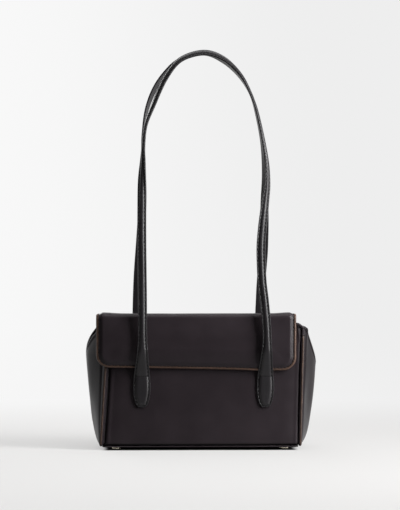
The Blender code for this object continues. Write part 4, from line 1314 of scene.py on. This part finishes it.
def paper_material():
    """Pale paper: the lamps light it, and in the rays that show it, it glows more to the back."""
    material, tree, shader = new_material("pale_studio_paper")
    x, y, _ = add_node(tree, "SeparateXYZ", places_of(tree)).outputs
    shown = seen_rays(tree, y, -0.50, -0.12)
    outside_shadow = outside_painted_shadow(tree, x, y)
    # Painted light: the paper's colour runs from lighter on the left to darker on the right
    paper = colour_ramp(tree, ranged(tree, x, -0.30, 0.30), (0.0, PAPER_LEFT), (1.0, PAPER_RIGHT))
    # Painted shadow: dark paper under the bag
    paper = mixed(tree, outside_shadow, (*PAINTED_SHADOW_UNDER_BAG, 1), paper)
    paper = mixed(tree, shown, (*PAPER_BOUNCE, 1), paper)
    feed(tree, shader, Base_Color=paper, Roughness=0.9, Specular_IOR_Level=0.1)
    far = ranged(tree, y, -0.03, 0.85)
    wide = ranged(tree, x, -0.62, 0.62)
    # Painted light: the backdrop's glow falls off from left to right
    wall = colour_ramp(tree, wide, (0.0, BACKDROP_LEFT), (1.0, BACKDROP_RIGHT))
    glow = add_node(tree, "Emission", mixed(tree, far, (*FLOOR_WHITE, 1), wall))
    share = calculate(tree, "MULTIPLY_ADD", far, 1 - FLOOR_GLOW, FLOOR_GLOW)
    share = calculate(tree, "MULTIPLY", calculate(tree, "MULTIPLY", share, outside_shadow), shown)
    mix = add_node(
        tree, "MixShader", share, shader.outputs["BSDF"], glow.outputs["Emission"]
    )
    feed(tree, tree.nodes["Material Output"], Surface=mix.outputs["Shader"])
    return material


def make_stage():
    """One sheet of pale paper: the floor, and the backdrop that rises behind it."""
    profile = [(-SHEET_HALF_WIDTH, 0.0)]
    for angle in np.linspace(0, math.pi / 2, 17):
        y = SHEET_FOOT + SHEET_BEND * math.sin(angle)
        profile.append((y, SHEET_BEND * (1 - math.cos(angle))))
    profile.append((SHEET_FOOT + SHEET_BEND, SHEET_TOP))
    verts = [(x, y, z) for y, z in profile for x in (-SHEET_HALF_WIDTH, SHEET_HALF_WIDTH)]
    faces = [(i, i + 1, i + 3, i + 2) for i in range(0, len(verts) - 2, 2)]
    add_mesh("studio_floor", verts, faces, paper_material(), solid=False)


def make_world():
    world = bpy.data.worlds.new("studio_light")
    bpy.context.scene.world = world
    world.use_nodes = True
    tree = world.node_tree
    places = add_node(tree, "TexCoord").outputs["Generated"]
    y = add_node(tree, "SeparateXYZ", places).outputs["Y"]
    strength = add_node(
        tree, "MapRange", Value=seen_rays(tree, y, 0.0, 0.3), To_Min=WORLD_LIGHT, To_Max=WORLD_SHOWN
    )
    background = tree.nodes["Background"]
    feed(tree, background, Color=(1.0, 1.0, 1.0, 1.0), Strength=strength.outputs["Result"])


def aim(obj, target):
    direction = Vector(target) - obj.location
    obj.rotation_euler = direction.to_track_quat("-Z", "Y").to_euler()


def make_lamps():
    """Softboxes that face the bag."""
    for name, azimuth, elevation, distance, size, power in LAMPS:
        data = bpy.data.lights.new(name, "AREA")
        data.shape = "RECTANGLE"
        data.size, data.size_y = size
        data.energy = power
        lamp = bpy.data.objects.new(name, data)
        bpy.context.scene.collection.objects.link(lamp)
        a, e = math.radians(azimuth), math.radians(elevation)
        away = Vector((math.sin(a) * math.cos(e), -math.cos(a) * math.cos(e), math.sin(e)))
        lamp.location = Vector((0, 0, 0.1)) + away * distance
        aim(lamp, (0, 0, 0.1))


def make_camera():
    data = bpy.data.cameras.new("camera")
    data.sensor_fit = "VERTICAL"
    data.sensor_height = 36.0
    data.lens = 162.4
    data.clip_end = 50.0
    camera = bpy.data.objects.new("camera", data)
    bpy.context.scene.collection.objects.link(camera)
    camera.location = (-0.070, -2.640, 0.230)
    aim(camera, (-0.0006, -0.040, 0.2207))
    bpy.context.scene.camera = camera


make_front_panel()
for side in (LEFT, RIGHT):
    make_gusset(side)
    make_gusset_rim(side)
for side in (LEFT, RIGHT):
    make_upper_seam(side)
    make_welts(side, FRONT)
for side in (LEFT, RIGHT):
    make_welts(side, BACK)
make_mouth_binding()
make_base()
make_feet()
colour_carried_nodes()
make_panel_lining(FRONT)
make_panel_lining(BACK)
make_pocket()
make_flap_front()
make_back()
for side in (LEFT, RIGHT):
    make_top_edge(side)
make_strap(FRONT, FRONT_ROUTE_SHARES)
make_strap(BACK, BACK_ROUTE_SHARES)
make_stage()
make_world()
make_lamps()
make_camera()
bpy.context.scene.view_settings.view_transform = "Standard"
